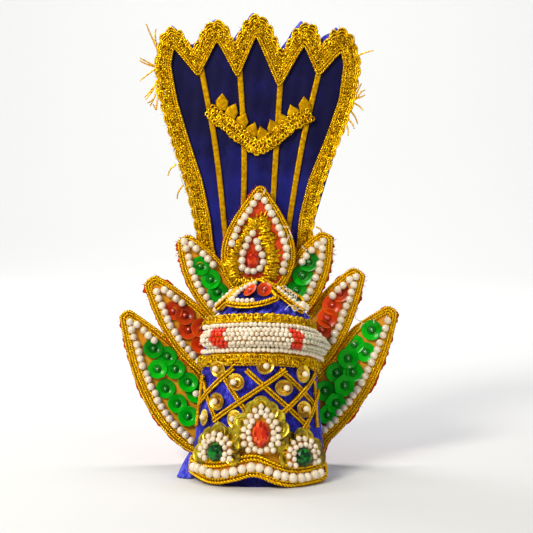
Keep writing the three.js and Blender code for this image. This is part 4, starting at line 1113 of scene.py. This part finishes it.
# Angle from root to tip on the board
def petalLean(petal):
    (x0, y0), (x1, y1) = petal["root"], petal["tip"]
    return np.arctan2(x0 - x1, y1 - y0)


# Distance from root to tip
def petalLength(petal):
    return np.hypot(petal["tip"][0] - petal["root"][0], petal["tip"][1] - petal["root"][1])


# A shape moved to its petal: turned about the petal's own length, then on the board towards the tip
def onPetal(petal, made):
    angle, tip = petalLean(petal), -petal["side"] * petal["shingle"]
    turn = np.array([[np.cos(angle), -np.sin(angle), 0], [np.sin(angle), np.cos(angle), 0], [0, 0, 1]])
    shingle = np.array([[np.cos(tip), 0, np.sin(tip)], [0, 1, 0], [-np.sin(tip), 0, np.cos(tip)]])
    made["points"] = made["points"] @ (boardAxes @ turn @ shingle).T + onBoard(*petal["root"], petal["lift"])
    return made


# Half width along the petal: a taper to a power plus a sine bulge, closed by half an ellipse at the tip
def petalHalf(petal, along):
    length = petalLength(petal)
    share = np.clip(along / length, 0, 1)
    low, high = petal["half"]
    half = (low + (high - low) * share ** petal["taper"]
            + petal["bulge"] * np.sin(np.pi * share ** petals["skew"]))
    past = (along - length) / petals["tipRound"]
    return np.where(past > 1, -9, half * np.sqrt(1 - np.clip(past, 0, 1) ** 2))


# Extra width of the inner side, read off at the quarters of the length
def petalMore(petal, along):
    return np.interp(along / petalLength(petal), np.linspace(0, 1, 5), petal["inner"])


# Outer and inner edge: the outer one turns to the heel's width, the root edge slants back to the inner side
def petalEdges(petal, along):
    (deep, wide), root = petal["heel"], petal["half"][0]
    half, down = petalHalf(petal, along), np.clip(-along / max(deep, 0.01), 0, 1)
    more = petalMore(petal, along)
    return half + (wide - root) * down ** 1.3, (root + wide + more) * down - half - more


# The outline moved in by an inset, outer foot over the tip to the inner foot:
# at each place the least of half(along + d sin a) - d cos a
def petalLine(petal, inset, out, step=0.35):
    along = np.linspace(0, petalLength(petal) + petals["tipRound"], 500)
    lean = np.radians(np.linspace(-90, 90, 31))
    half = np.min(petalHalf(petal, along[:, None] + inset * np.sin(lean)) - inset * np.cos(lean), axis=1)
    edge = np.stack([half, along], axis=-1)[half > 0]
    deep = petal["heel"][0]
    down = np.linspace(-deep, 0, 40, endpoint=False)[:40 if deep else 0]
    foot = np.stack([petalEdges(petal, down)[0] - inset, down], axis=-1)
    inner = np.stack([-edge[:, 0] - petalMore(petal, edge[:, 1]), edge[:, 1]], axis=-1)[::-1]
    across, up = np.concatenate([foot, edge, inner]).T
    return softened(evenly(xyz(across * petal["side"], up, out), step)[0], 6)


# A slab between two edges: for each place along, the top from left to right, then the underside back
def slab(along, left, right, top, low, columns=21, crown=0.0):
    v = np.linspace(0, 1, columns)[None]
    across = left[:, None] + (right - left)[:, None] * v
    over = xyz(across, along[:, None], top + crown * np.sin(np.pi * v) ** 0.6)
    return gridShape(np.concatenate([over, xyz(across[:, ::-1], along[:, None], low)], axis=1))


# A short bent fibre, thin at both ends
def fibre():
    t = np.linspace(0, 1, 4)
    return tube(xyz(0.25 * t ** 2, 0.06 * np.sin(3 * t), t), 0.05 * (1.1 - t), (0, 1, 0), 3)


# Satin panel, ragged felt behind it with fibres mostly near the tip, cords along the outline, a string of
# pearls inside them and cup sequins in layers on the field
def buildPetal(petal):
    side, face, length, deep = petal["side"], petals["face"], petalLength(petal), petal["heel"][0]
    name, nodeName = "petal" + "".join(petal["name"]), "_".join(["petal", *petal["name"]]).lower()

    # A slab between the petal's edges, each moved out by a margin
    def sheet(along, outerOver, innerOver, top, low, columns, crown):
        outer, inner = petalEdges(petal, along)
        outer = np.maximum(outer + outerOver, 0.15)
        inner = np.minimum(inner - innerOver, outer - 0.1)
        left, right = (inner, outer) if side > 0 else (-outer, -inner)
        return onPetal(petal, slab(along, left, right, top, low, columns, crown))

    along = np.linspace(-deep, length + petals["tipRound"] - 0.05, 90)
    panel = sheet(along, -0.3, -0.3, face, -0.15, 21, 0.25)
    addPiece(f"{name}Panel", [(panel, goldSatin)], [f"{nodeName}_panel"])
    along = np.linspace(-deep - 0.2, length + petals["tipRound"] - 0.02, 150)
    near = np.clip((along / length - 0.72) / 0.2, 0, 1)
    over = [petals["ragged"] * (base + (1 - base) * near)
            * np.clip(wander(150, 8) + 0.7 * wander(150, 3), 0, 2) - petals["feltUnder"]
            for base in petal["felt"]]
    backing = sheet(along, *over, -0.2, -face, 9, 0.0)
    edge, count = petalLine(petal, 0.1, -0.5), petals["fibres"]
    fromTip = np.abs(random.normal(0, 0.16, count)) * random.choice([-1, 1], count)
    pick = ((fromTip + edge[:, 1].argmax() / len(edge)) * len(edge)).astype(int)
    spots = jittered(edge[np.clip(pick, 0, len(edge) - 1)], 0.2)
    away = xyz(np.sign(spots[:, 0]), np.where(spots[:, 1] > length - 3, 1.4, 0.2), 0)
    away = unit(jittered(away, 0.5))
    frames = lying(np.cross(away, [0.3, 0.2, 1.0]), away, random.uniform(0, 6, count))
    fuzz = onPetal(petal, copies(fibre(), spots, frames, random.uniform(0.7, 1.9, count)))
    addPiece(f"{name}Felt", [(backing, felt), (fuzz, felt)])
    lines = [petalLine(petal, inset, face + 0.6) for inset in petal["ropes"]]
    lines = lines[:3] + [line[:line[:, 1].argmax()] for line in lines[3:]]
    ropes = joined([rope(line, (0, 0, 1.0), petals["rope"], petals["ropePitch"], hand)
                    for line, hand in zip(lines, (1, -1, 1, -1))])
    addPiece(f"{name}Braid", [(onPetal(petal, ropes), braidGold)], [f"{nodeName}_braid"])
    step = petals["pearlStep"]
    line = petalLine(petal, petal["pearlInset"], face + petals["pearl"] / 2 - 0.1, step)
    line[:, 1] += petal["push"] * np.clip((line[:, 1] / length - 0.5) / 0.4, 0, 1) ** 2
    outside = np.arange(len(line)) <= line[:, 1].argmax() - petal["tipFree"] / step
    line = line[line[:, 1] > np.where(outside, *petal["runs"]) * length]
    string = jittered(strung(line, petals["pearl"] * petals["pearlGap"]), 0.16)
    beads = onPetal(petal, pearls(string, petals["pearl"], 0.94, 1.05))
    addPiece(f"{name}Pearls", [(beads, pearl)], [f"{nodeName}_pearls"])
    if not petal["sequins"]:
        return
    up, across = np.array(petal["sequins"], float).T
    n = len(up)
    spots = xyz(side * across, up, face + 0.3 + petals["layer"] * np.arange(n))
    # Each cup is turned so its painted light side lies the same way on every petal
    turn = petals["bright"] - petalLean(petal) + random.normal(0, 0.5, n)
    tilt, tiltTurn = random.uniform(0.02, 0.12, n), np.pi / 2 + random.normal(0, 0.9, n)
    frames = lying(np.tile([1.0, 0, 0], (n, 1)), np.tile([0, 0, 1.0], (n, 1)), turn, tilt, tiltTurn)
    sizes, odd = petals["sequin"] * random.uniform(0.95, 1.04, n), np.isin(np.arange(n), petal["odd"])
    # The shade: a random tone, painted light or painted shade on the whole petal, and painted light on
    # six-sided ones
    shade = random.uniform(0.15, 0.85, n) + petal["glow"] + 0.3 * odd
    discs = joined([copies(cup(sides), spots[which], frames[which], sizes[which] * grow, shade[which])
                    for which, sides, grow in ((~odd, 22, 1), (odd, 6, 1.08))])
    studs = copies(ball(7, 12), spots + frames[:, :, 2] * 0.5, None, petals["stud"])
    finish, spark = petals["colours"][petal["colour"]]
    addPiece(f"{name}Sequins", [(onPetal(petal, discs), finish), (onPetal(petal, studs), spark)],
             [f"{nodeName}_sequins"])


for petal in petalRows:
    buildPetal(petal)
print("petals ready")

# Inner work of the middle petal in its own x and distance along: red field, crinkled gold arch with a
# tuft on top, drop of pearls, and the stone by its place, half sizes and height
centre = {
    "fieldInset": 4.0, "purl": 1.15,
    "arch": [(-1.6, 5), (-5, 4.2), (-8.6, 4.4), (-10, 8.2), (-11.1, 12.2), (-10.4, 16.2), (-8.2, 20.8),
             (-5.6, 24.8), (-2.6, 28.6), (0.6, 31.2), (2.0, 28.4), (2.7, 24.8), (3.8, 21), (5.6, 16.2),
             (6.1, 12.2), (5.3, 8.4), (4.2, 4.4)],
    "archWidth": [4, 5, 6.4, 6.6, 6, 5.6, 5.2, 5, 5, 4.6, 5.6, 6.4, 6.4, 7, 6.4, 6, 4.8],
    "layers": [(1.0, 1.7, 0.0), (0.8, 2.3, 0.7), (0.55, 2.9, 1.2)],  # share of the width, pitch, lift
    "tuft": [[(1.2, 30.6), (1.9, 32.6), (2.9, 34.6)], [(0.8, 30.8), (0.4, 32.8), (0.9, 34.4)],
             [(1.8, 30.2), (3.1, 32), (3.6, 33.6)], [(0.2, 30.6), (-1, 32), (-1.2, 33.2)]],
    "drop": [(-2.7, 25.0), (-4.5, 22.4), (-5.4, 19.4), (-6.5, 16.4), (-6.9, 13.2), (-6.5, 10.2), (-4.3, 8.9),
             (-1.6, 8.9), (0.9, 10.2), (2.2, 12.8), (1.6, 15.9), (0.0, 18.8), (-1.0, 21.7)],
    "pearl": 3.2, "stone": (-2.2, 13.4, 2.9, 3.9, 3.4),
}


# Field inside the outline, cords to and fro along the arch, pearls round the drop, a stone in it
def buildCentreWork():
    petal, face, out = petalRows[0], petals["face"], (0, 0, 1.0)
    along = np.linspace(0.5, petalLength(petal) - 3.2, 60)
    half = np.maximum(petalHalf(petal, along + 2) - centre["fieldInset"], 0.2)
    field = slab(along, -half, half, face + 0.5, face - 0.2, crown=0.3)
    addPiece("petalCentreField", [(onPetal(petal, field), redSatin)])
    arch = xyz(*through(centre["arch"], 200).T, face + 0.9)
    crinkle = [meander(arch, out, np.multiply(centre["archWidth"], wide), pitch, centre["purl"], 0.46,
                       lift, 6) for wide, pitch, lift in centre["layers"]]
    crinkle += [tube(xyz(*through(points, 16).T, face + 1.6), 0.3, out, 5) for points in centre["tuft"]]
    addPiece("petalCentrePurl", [(onPetal(petal, joined(crinkle)), loopGold)],
             ["petal_centre_purl"])
    spots = xyz(*np.array(centre["drop"]).T, face + 1.9)
    beads = pearls(jittered(spots, 0.08), centre["pearl"], 0.95, 1.05)
    addPiece("petalCentreDrop", [(onPetal(petal, beads), pearl)], ["petal_centre_drop"])
    across, up, *size = centre["stone"]
    gem = cutStone(*size)
    gem["points"] = gem["points"] + [across, up, face + 0.5]
    addPiece("petalCentreStone", [(onPetal(petal, gem), redStone)], ["petal_centre_stone"],
             smooth=False)


buildCentreWork()
print("middle petal ready")

# Fan: sides of the cloth and of the border's inner edge by height, then its points and notches
fan = {
    "thick": 2.4, "foot": 88.0, "fullness": 2.2, "shoulder": 0.7, "bottom": 37.0, "borderStep": 0.4,
    "height": [36, 75, 92, 105, 121, 140, 156, 171],
    "left": [-10, -21, -26, -28.5, -32.2, -38.6, -43.1, -45.4],
    "right": [10, 18, 22.2, 23.6, 28, 35.5, 41.3, 43.6],
    "leftInner": [-4, -15, -19.6, -21.2, -24.6, -30.8, -35.6, -38.3],
    "rightInner": [4, 12, 16, 17.2, 21.2, 28.8, 34.4, 36.4],
    "top": [(-38.8, 187.3), (-28.8, 177.7), (-18.4, 190.7), (-11, 180.3), (-1, 192.9), (9.8, 176),
            (20.8, 189.4), (27, 179), (36.7, 186.8)],
    "topInner": [(-37, 178.4), (-26.3, 165.4), (-18.4, 181.7), (-9.3, 164.8), (-1.5, 183.9), (8.4, 160.4),
                 (19.3, 179.6), (25.4, 165.4), (35.4, 176.6)],
    "scallop": 5.3, "loopPitch": 1.15, "loopSize": 0.74, "loopRows": (0.3, 0.42, 0.54, 0.66),
    "rims": [(1.0, 0.95), (0.72, 0.85), (0.42, 0.8)],  # share of the scallop and size of each beaded cord
    "grid": (181, 44), "clothIn": (1.0, 1.8), "velvetIn": (0.4, 2.2), "velvetAside": -0.5, "velvetUp": 1.7,
}


# The border's outer or inner edge from the left foot over the points to the right foot
def fanEdge(kind=""):
    left = np.stack([fan["left" + kind], fan["height"]], axis=-1)
    right = np.stack([fan["right" + kind], fan["height"]], axis=-1)[::-1]
    marks = np.array(fan["top" + kind], float)
    stops = np.concatenate([left[-1:], marks, right[:1]])
    a, b = stops[:-1], stops[1:]
    rising = (b[:, 1] > a[:, 1])[:, None]
    across = unit(np.stack([-(b - a)[:, 1], (b - a)[:, 0]], axis=-1))
    push = 0.0 if kind else fan["fullness"]
    top = np.empty((2 * len(marks) + 1, 2))
    top[0::2] = a + (b - a) * np.where(rising, fan["shoulder"], 1 - fan["shoulder"]) + across * push
    top[1::2] = marks
    return np.concatenate([left, top, right])


# Matching points along both edges of the border, close together, above the foot
def fanBorder():
    outer, inner = fanEdge(), fanEdge("Inner")
    both = np.hstack([(outer + inner) / 2, np.zeros((len(outer), 1)), outer, inner])
    both, _ = evenly(both, fan["borderStep"])
    both = both[both[:, 1] > fan["foot"]]
    return softened(both[:, 3:5], 8), softened(both[:, 5:7], 16)


# A sheet as wide as the fan at each height and as tall as its points: at each place across, the front
# upwards and the back down again; waves and two creases bend the front
def fanSheet(aside, more, front, back, fold, ragged, narrow):
    ends = [(fan[side][-1], fan["height"][-1]) for side in ("left", "right")]
    marks = np.array([ends[0], *fan["top"], ends[1]], float)
    columns, rows = fan["grid"]
    share = np.linspace(0, 1, columns)[:, None]
    x = fan["left"][-1] + (fan["right"][-1] - fan["left"][-1]) * share
    top = readSoft(x, *marks.T, 1.2) + more + ragged * wander(columns, 4)[:, None].clip(-1, 1.4)
    up = np.linspace(0, 1, rows)[None]
    tall = fan["bottom"] + (top - fan["bottom"]) * up
    left = np.interp(tall, fan["height"], fan["left"]) + narrow[0]
    right = np.interp(tall, fan["height"], fan["right"]) - narrow[1]
    edge = ragged * wander(rows, 2)[None].clip(-1, 1)
    across = (left - edge * (1 - share) + (right - left + edge) * share
              + aside * np.clip((tall - 165) / 8, 0.2, 1))
    wave = 0.25 * np.sin(across * 0.55 + tall * 0.06) + 0.18 * np.sin(across * 1.1 - tall * 0.13)
    crease = (np.exp(-((tall - 113 - 0.25 * across) / 2.2) ** 2)
              + 0.7 * np.exp(-((tall - 124 + 0.2 * across) / 1.8) ** 2))
    inside = np.minimum(1, 6 * share * (1 - share)) * np.clip((1 - up) * 6, 0, 1)
    bend = fold * inside * (wave + 1.1 * crease * (across > 4))
    # Painted shade darker towards the top of the cloth, painted sheen along the two creases
    tint = np.clip(0.86 - (tall - 95) / 62, 0.08, 0.9) + 0.12 * crease
    near, far = onBoard(across, tall, front + bend), onBoard(across, tall, back)
    return gridShape(np.concatenate([near, far[:, ::-1]], axis=1),
                     tint=np.concatenate([tint, tint[:, ::-1]], axis=1))


# Cloth and lining, then the border: ground, cords along its inner edge, beaded cords along the scallops
# |sin(pi s / scallop)|, and rows of small loops between
def buildFan():
    cloth = fanSheet(0.0, -0.6, -0.35, -1.3, 0.4, 0.25, fan["clothIn"])
    lining = fanSheet(fan["velvetAside"], fan["velvetUp"], -1.4, -fan["thick"], 0.0, 0.45, fan["velvetIn"])
    # The lining is painted paler: painted light on its edges
    lining["tint"] = np.full(len(lining["points"]), 0.85)
    addPiece("fanPanel", [(cloth, navySatin), (lining, velvet)], ["fan_panel"])
    outer, inner = fanBorder()
    run = runAlong(outer)
    bump = np.abs(np.sin(np.pi * run / fan["scallop"])) ** 0.6 * (1 + 0.15 * wander(len(run), 24))
    reach = 0.87 + 0.17 * bump

    # A row between the border's inner edge, share 0, and its outer edge, share 1
    def row(share, out):
        mix = inner + (outer - inner) * np.reshape(share, (-1, 1))
        return onBoard(*mix.T, out)

    shares = np.linspace(0, 1, 9)
    ground = np.stack([row(s * (reach - 0.02), 0.5) for s in shares]
                      + [row(s * (reach - 0.02), 0.05) for s in shares[::-1]], axis=1)
    cords = [(gridShape(ground), groundGold), (rope(row(0.06, 0.95), boardOut, 1.25, 1.9, 1, 5), loopGold),
             (rope(row(0.19, 0.85), boardOut, 0.95, 1.5, -1, 5), braidGold)]
    for share, size in fan["rims"]:
        line, steps = evenly(row(0.62 + (reach - 0.62) * share, 0.9), 0.3)
        beaded = size / 2 * (1 + 0.16 * np.sin(2 * np.pi * steps / 0.9))
        cords.append((tube(line, beaded, boardOut, 5), loopGold))
    addPiece("fanBraid", cords, ["fan_braid"])
    loops = []
    for share in fan["loopRows"]:
        line = jittered(evenly(row(share, 0.85), fan["loopPitch"])[0], 0.14)
        sizes = fan["loopSize"] * random.uniform(0.8, 1.15, (len(line), 1)) * np.array([[1.0, 0.75, 1.0]])
        loops.append(copies(loop(0.4), line, scattered(heading(line), boardOut, 1, 0.05, 0.6), sizes))
    addPiece("fanLoops", [(joined(loops), loopGold)])


buildFan()

# Ribbons down the fan: top, middle and the foot's x of each
ribs = {
    "width": 2.4, "thick": 0.55, "foot": 91.0,
    "places": [((-25.3, 170.2), (-18.9, 135), -14), ((-8.6, 170.2), (-6.6, 134), -7.4),
               ((9.2, 166), (7.2, 134), 4.6), ((26.2, 170), (18.2, 135), 11)],
}
for number, (top, middle, footX) in enumerate(ribs["places"], 1):
    path = onBoard(*through([top, middle, (footX, ribs["foot"])], 90).T, 0.1)
    ribbon = strip(path, np.broadcast_to(boardOut, path.shape), ribs["width"], ribs["thick"])
    addPiece(f"fanRib{number}", [(ribbon, ribbonGold)], [f"fan_rib_{number}"])

# Swag of looped braid with foil leaves along its upper edge: place, height and lean of each leaf
swag = {
    "width": 6.2, "lift": 1.2, "pitch": 1.5, "loop": 0.95, "rope": 1.1, "ropePitch": 1.7,
    "path": [(-21.4, 151), (-14, 145.2), (-6, 139), (-0.6, 135.2), (6, 139), (14, 145.6), (21.8, 149.6)],
    "leaves": [(-16.2, 155.1, 2), (-11.8, 151.1, 26), (-7.4, 146.9, 24), (-3.2, 142.8, 22),
               (1.3, 141.0, -16), (6.0, 144.1, -22), (10.4, 146.9, -26), (14.6, 150.4, -20),
               (19.6, 153.8, -6)],
    "leaf": (5.4, 7.4),
}


# A flat leaf like the end of a house: straight sides, then two slopes to a point
def leafShape(width, length):
    up = np.linspace(0, 1, 14)
    half = np.interp(up, [0, 0.12, 0.55, 0.98, 1], [0.75, 0.92, 1, 0.05, 0.03]) * width / 2
    return slab(up * length - length / 2, -half, half, 0.4, 0.0, 7, 0.15)


# Three rows of loops, two cords and a band along one curve, with leaves turned in the board's plane
def buildSwag():
    path = onBoard(*through(swag["path"], 160).T, swag["lift"])
    side = unit(np.cross(heading(path), boardOut)) * swag["width"]
    rows = []
    for offset, tilt in ((-0.36, 0.3), (-0.02, 0.5), (0.34, 0.2)):
        line = jittered(evenly(path + side * offset + boardOut * 0.3, swag["pitch"])[0], 0.2)
        rows.append(copies(loop(0.54, 10), line, scattered(heading(line), boardOut, 1, 0.1, tilt),
                           swag["loop"] * random.uniform(0.75, 1.2, len(line))))
    rows += [rope(path + side * offset + boardOut * 0.35, boardOut, swag["rope"], swag["ropePitch"])
             for offset in (-0.2, 0.16)]
    v = np.linspace(-0.42, 0.42, 7)
    band = np.stack([path + side * s - boardOut * 0.1 for s in v]
                    + [path + side * s - boardOut * 0.7 for s in v[::-1]], axis=1)
    x, up, turn = np.array(swag["leaves"], float).T
    turn = np.radians(turn)[:, None]
    axisX = np.cos(turn) * boardAxes[:, 0] - np.sin(turn) * boardAxes[:, 1]
    axisY = np.sin(turn) * boardAxes[:, 0] + np.cos(turn) * boardAxes[:, 1]
    frames = np.stack([axisX, axisY, np.broadcast_to(boardOut, axisX.shape)], axis=-1)
    leaves = copies(leafShape(*swag["leaf"]), onBoard(x, up, swag["lift"] - 0.35), frames)
    addPiece("fanSwag", [(joined(rows), loopGold), (gridShape(band), ribbonGold), (leaves, ribbonGold)],
             ["fan_swag"])


buildSwag()
print("fan ready")

# Loose ends through a few places on the board: gold at the fan's sides, white on fan and petals with their
# distance out of the board, stray beads, and swirls of white by the dome in the cap's own layout
looseEnds = {
    "gold": [
        [(-44.3, 178), (-46.9, 183.7), (-49.1, 188.9)], [(-44.8, 179.3), (-45.2, 184.5), (-44.8, 186.7)],
        [(-44.7, 170.2), (-48.6, 172.4), (-51.7, 174.1)], [(-45, 170.2), (-49.1, 171.4), (-51.9, 172.8)],
        [(-45, 169.4), (-48.6, 166.7), (-51.7, 164.1)], [(-44.3, 164.6), (-46, 160.2), (-49.1, 155.9)],
        [(-43.9, 162.8), (-45.2, 157.6), (-47.3, 153.3)],
        [(-43.4, 160.2), (-44.3, 154.2), (-44.7, 151.6), (-46, 154.2)],
        [(-44, 163.6), (-47.3, 159.4), (-49.5, 156.8)], [(-43.6, 161.2), (-46, 156), (-48.2, 154.4)],
        [(-36, 128), (-38.4, 126), (-39.6, 123)], [(-33, 119), (-35, 116), (-35.6, 113)],
        [(42.2, 175), (45.7, 176.3), (49.2, 177.1)], [(42.2, 156.8), (44, 159.4), (45.7, 160.2)],
        [(41.4, 156.3), (44, 157.2), (45.7, 158.1)], [(40.9, 154.6), (43.5, 152.9), (44.8, 151.1)],
        [(39.2, 151.6), (41.4, 148.5), (42.6, 145.5)], [(37.9, 148.1), (40.1, 145.5), (40.9, 143.3)],
        [(37.5, 145.5), (38.3, 142.9), (38.3, 140.3)], [(41.4, 157.6), (43.1, 161.1), (44, 162.8)],
        [(24.5, 101), (26.4, 100), (26.8, 97.6)],
    ],
    "goldOut": 0.8, "goldSize": 0.46,
    "white": [
        (0.7, [(-29.8, 109), (-30.4, 113), (-33.2, 120), (-34.4, 124)]),
        (0.7, [(-40.4, 157.6), (-42.4, 162), (-44.2, 167)]),
        (0.7, [(-27.8, 104), (-29.1, 107.5), (-29.4, 112.6), (-30.4, 117.8)]),
        (8.6, [(42.6, 66.2), (40.9, 63.3), (41.4, 61.3), (43.3, 60.4), (43.8, 58.9), (42.8, 57.7)]),
        (8.6, [(48.7, 61.5), (48.9, 59.6)]), (8.6, [(54.3, 62.8), (54, 61.1)]),
        (8.6, [(18.2, 92.4), (20.3, 90.3)]), (10.6, [(2.6, 116.6), (1.5, 114.3)]),
        (10.6, [(10, 100.8), (12.7, 100.5)]), (10.6, [(12.6, 99.6), (14.2, 95.7)]),
        (10.6, [(12.9, 97.3), (11.6, 93.6), (12.2, 88.9), (10.8, 84.7)]),
    ],
    "whiteSize": 0.21, "swirlSize": 0.17,
    "beads": [(-27.0, 29.4), (25.5, 15.3)], "bead": 1.55, "beadOut": 7.6,
    "swirls": [
        [(10.5, -10.6, 69), (12.5, -9.8, 70.8), (14.6, -9.4, 68.6), (15, -9, 70.3), (13.2, -9.6, 70.6),
         (14.4, -9.4, 68.4), (16.6, -8, 69.4), (18.4, -6.8, 67.6)],
        [(9, -1.5, 77.6), (11, -1.2, 77.8), (11.6, -2.2, 75.8), (13.4, -2.2, 76.2), (13.6, -3.4, 73.8),
         (15.4, -3.4, 74.4), (15, -4.6, 72), (16.8, -4.8, 72)],
        [(10.4, -1.6, 77), (12.6, -2.2, 76.6), (12.4, -3, 74.8), (14.8, -3, 75), (14.4, -4, 73)],
    ],
    "fuzz": 150, "fuzzOut": -1.4, "fuzzShare": 0.72,
}


# A thread through a few places on the board at a distance out of it
def boardThread(points, out, size, sag):
    return tube(onBoard(*through(points, 24).T, out + np.linspace(0, sag, 24)), size, boardOut, 5)


# Gold and white ends, and short blue fibres along the fan's edge, which lean outwards and up
def buildLooseEnds():
    gold = [boardThread(points, looseEnds["goldOut"], looseEnds["goldSize"] * np.linspace(1, 0.6, 24),
                        random.uniform(-1, 2)) for points in looseEnds["gold"]]
    addPiece("fanLooseGold", [(joined(gold), braidGold)])
    white = [boardThread(points, out, looseEnds["whiteSize"], 0.3) for out, points in looseEnds["white"]]
    white += [tube(through(points, 90), looseEnds["swirlSize"], (0.1, -0.7, 0.7), 5)
              for points in looseEnds["swirls"]]
    outer, _ = fanBorder()
    pick = np.sort(random.integers(0, int(len(outer) * looseEnds["fuzzShare"]), looseEnds["fuzz"]))
    x, up = outer[pick].T
    away = unit(jittered(xyz(np.sign(x) * 0.8, 0, np.clip((up - 150) / 40, 0.1, 1)), 0.45))
    frames = lying(np.cross(away, [0.2, 1.0, 0.1]), away)
    fuzz = copies(fibre(), onBoard(x, up, looseEnds["fuzzOut"]), frames, random.uniform(1.0, 2.6, len(pick)))
    addPiece("looseThreads", [(joined(white), whiteThread), (fuzz, blueThread)])
    spots = onBoard(*np.array(looseEnds["beads"]).T, looseEnds["beadOut"])
    addPiece("strayPearls", [(copies(ball(9, 14), spots, None, looseEnds["bead"]), pearl)])


buildLooseEnds()
print("loose ends ready")

# Stage: pale sweep of floor and wall, soft lights, and the camera where the photograph was taken from
stage = {
    "floorColour": (0.7, 0.7, 0.69, 1), "width": 12.0, "front": -6.0, "wall": 2.2, "bend": 1.2, "tall": 5.0,
    "room": (0.85, 0.86, 0.88, 1), "roomStrength": 0.38, "target": (3.075, 0.0, 85.9), "distance": 620.0,
    "elevation": np.radians(4), "focalPixels": 1512.2, "frame": 533, "sensor": 36.0,
    "lights": [
        ("keyLight", (-0.45, -0.6, 0.62), (0, 0, 0.09), 0.3, 6.6, (1.0, 0.96, 0.88)),
        ("fillLight", (0.7, -0.7, 0.3), (0, 0, 0.09), 0.6, 0.9, (0.97, 0.98, 1.0)),
        ("backLight", (-0.5, 0.6, 0.6), (0, 0, 0.09), 0.5, 2.6, (1.0, 1.0, 1.0)),
        ("wallLight", (0.0, 0.5, 1.6), (0, 2.4, 0.3), 1.2, 34.0, (1.0, 1.0, 1.0)),
    ],
}


# A round area light that looks from its spot to its aim
def addLight(name, spot, aim, size, watts, colour):
    light = bpy.data.lights.new(name, "AREA")
    light.shape, light.size, light.energy, light.color = "DISK", size, watts, colour
    lamp = bpy.data.objects.new(name, light)
    lamp.location = spot
    lamp.rotation_euler = (Vector(aim) - lamp.location).to_track_quat("-Z", "Y").to_euler()
    bpy.context.collection.objects.link(lamp)


# A sweep whose floor turns up into the wall through a quarter circle
def buildStage():
    bend = np.linspace(0, np.pi / 2, 24)
    deep = np.concatenate([[stage["front"]], stage["wall"] + stage["bend"] * (np.sin(bend) - 1),
                           [stage["wall"]]])
    tall = np.concatenate([[0], stage["bend"] * (1 - np.cos(bend)), [stage["tall"]]])
    points = xyz(np.array([-0.5, 0.5])[:, None] * stage["width"], deep, tall).reshape(-1, 3)
    k, n = np.arange(len(deep) - 1), len(deep)
    mesh = bpy.data.meshes.new("sweep")
    mesh.from_pydata(points.tolist(), [], np.stack([k, k + n, k + n + 1, k + 1], axis=-1).tolist())
    mesh.polygons.foreach_set("use_smooth", np.full(len(k), True))
    sweep = bpy.data.objects.new("sweep", mesh)
    bpy.context.collection.objects.link(sweep)
    mesh.materials.append(newFinish("paleSweep", {"Base Color": stage["floorColour"], "Roughness": 0.8})[0])
    world = bpy.data.worlds.new("paleRoom")
    world.use_nodes = True
    sky = world.node_tree.nodes["Background"]
    sky.inputs["Color"].default_value = stage["room"]
    sky.inputs["Strength"].default_value = stage["roomStrength"]
    bpy.context.scene.world = world
    for light in stage["lights"]:
        addLight(*light)
    camera = bpy.data.cameras.new("photoCamera")
    camera.sensor_fit, camera.sensor_width = "HORIZONTAL", stage["sensor"]
    camera.lens = stage["sensor"] * stage["focalPixels"] / stage["frame"]
    camera.clip_start, camera.clip_end = 0.01, 100.0
    shot = bpy.data.objects.new("photoCamera", camera)
    rise, back = np.sin(stage["elevation"]), np.cos(stage["elevation"])
    spot = np.array(stage["target"]) + stage["distance"] * np.array([0, -back, rise])
    shot.location = rimMiddle + spot * mm
    shot.rotation_euler = (np.pi / 2 - stage["elevation"], 0, 0)
    bpy.context.collection.objects.link(shot)
    bpy.context.scene.camera = shot
    bpy.context.scene.view_settings.view_transform = "Standard"


buildStage()
print("stage ready,", tally["triangles"], "triangles in the pieces")
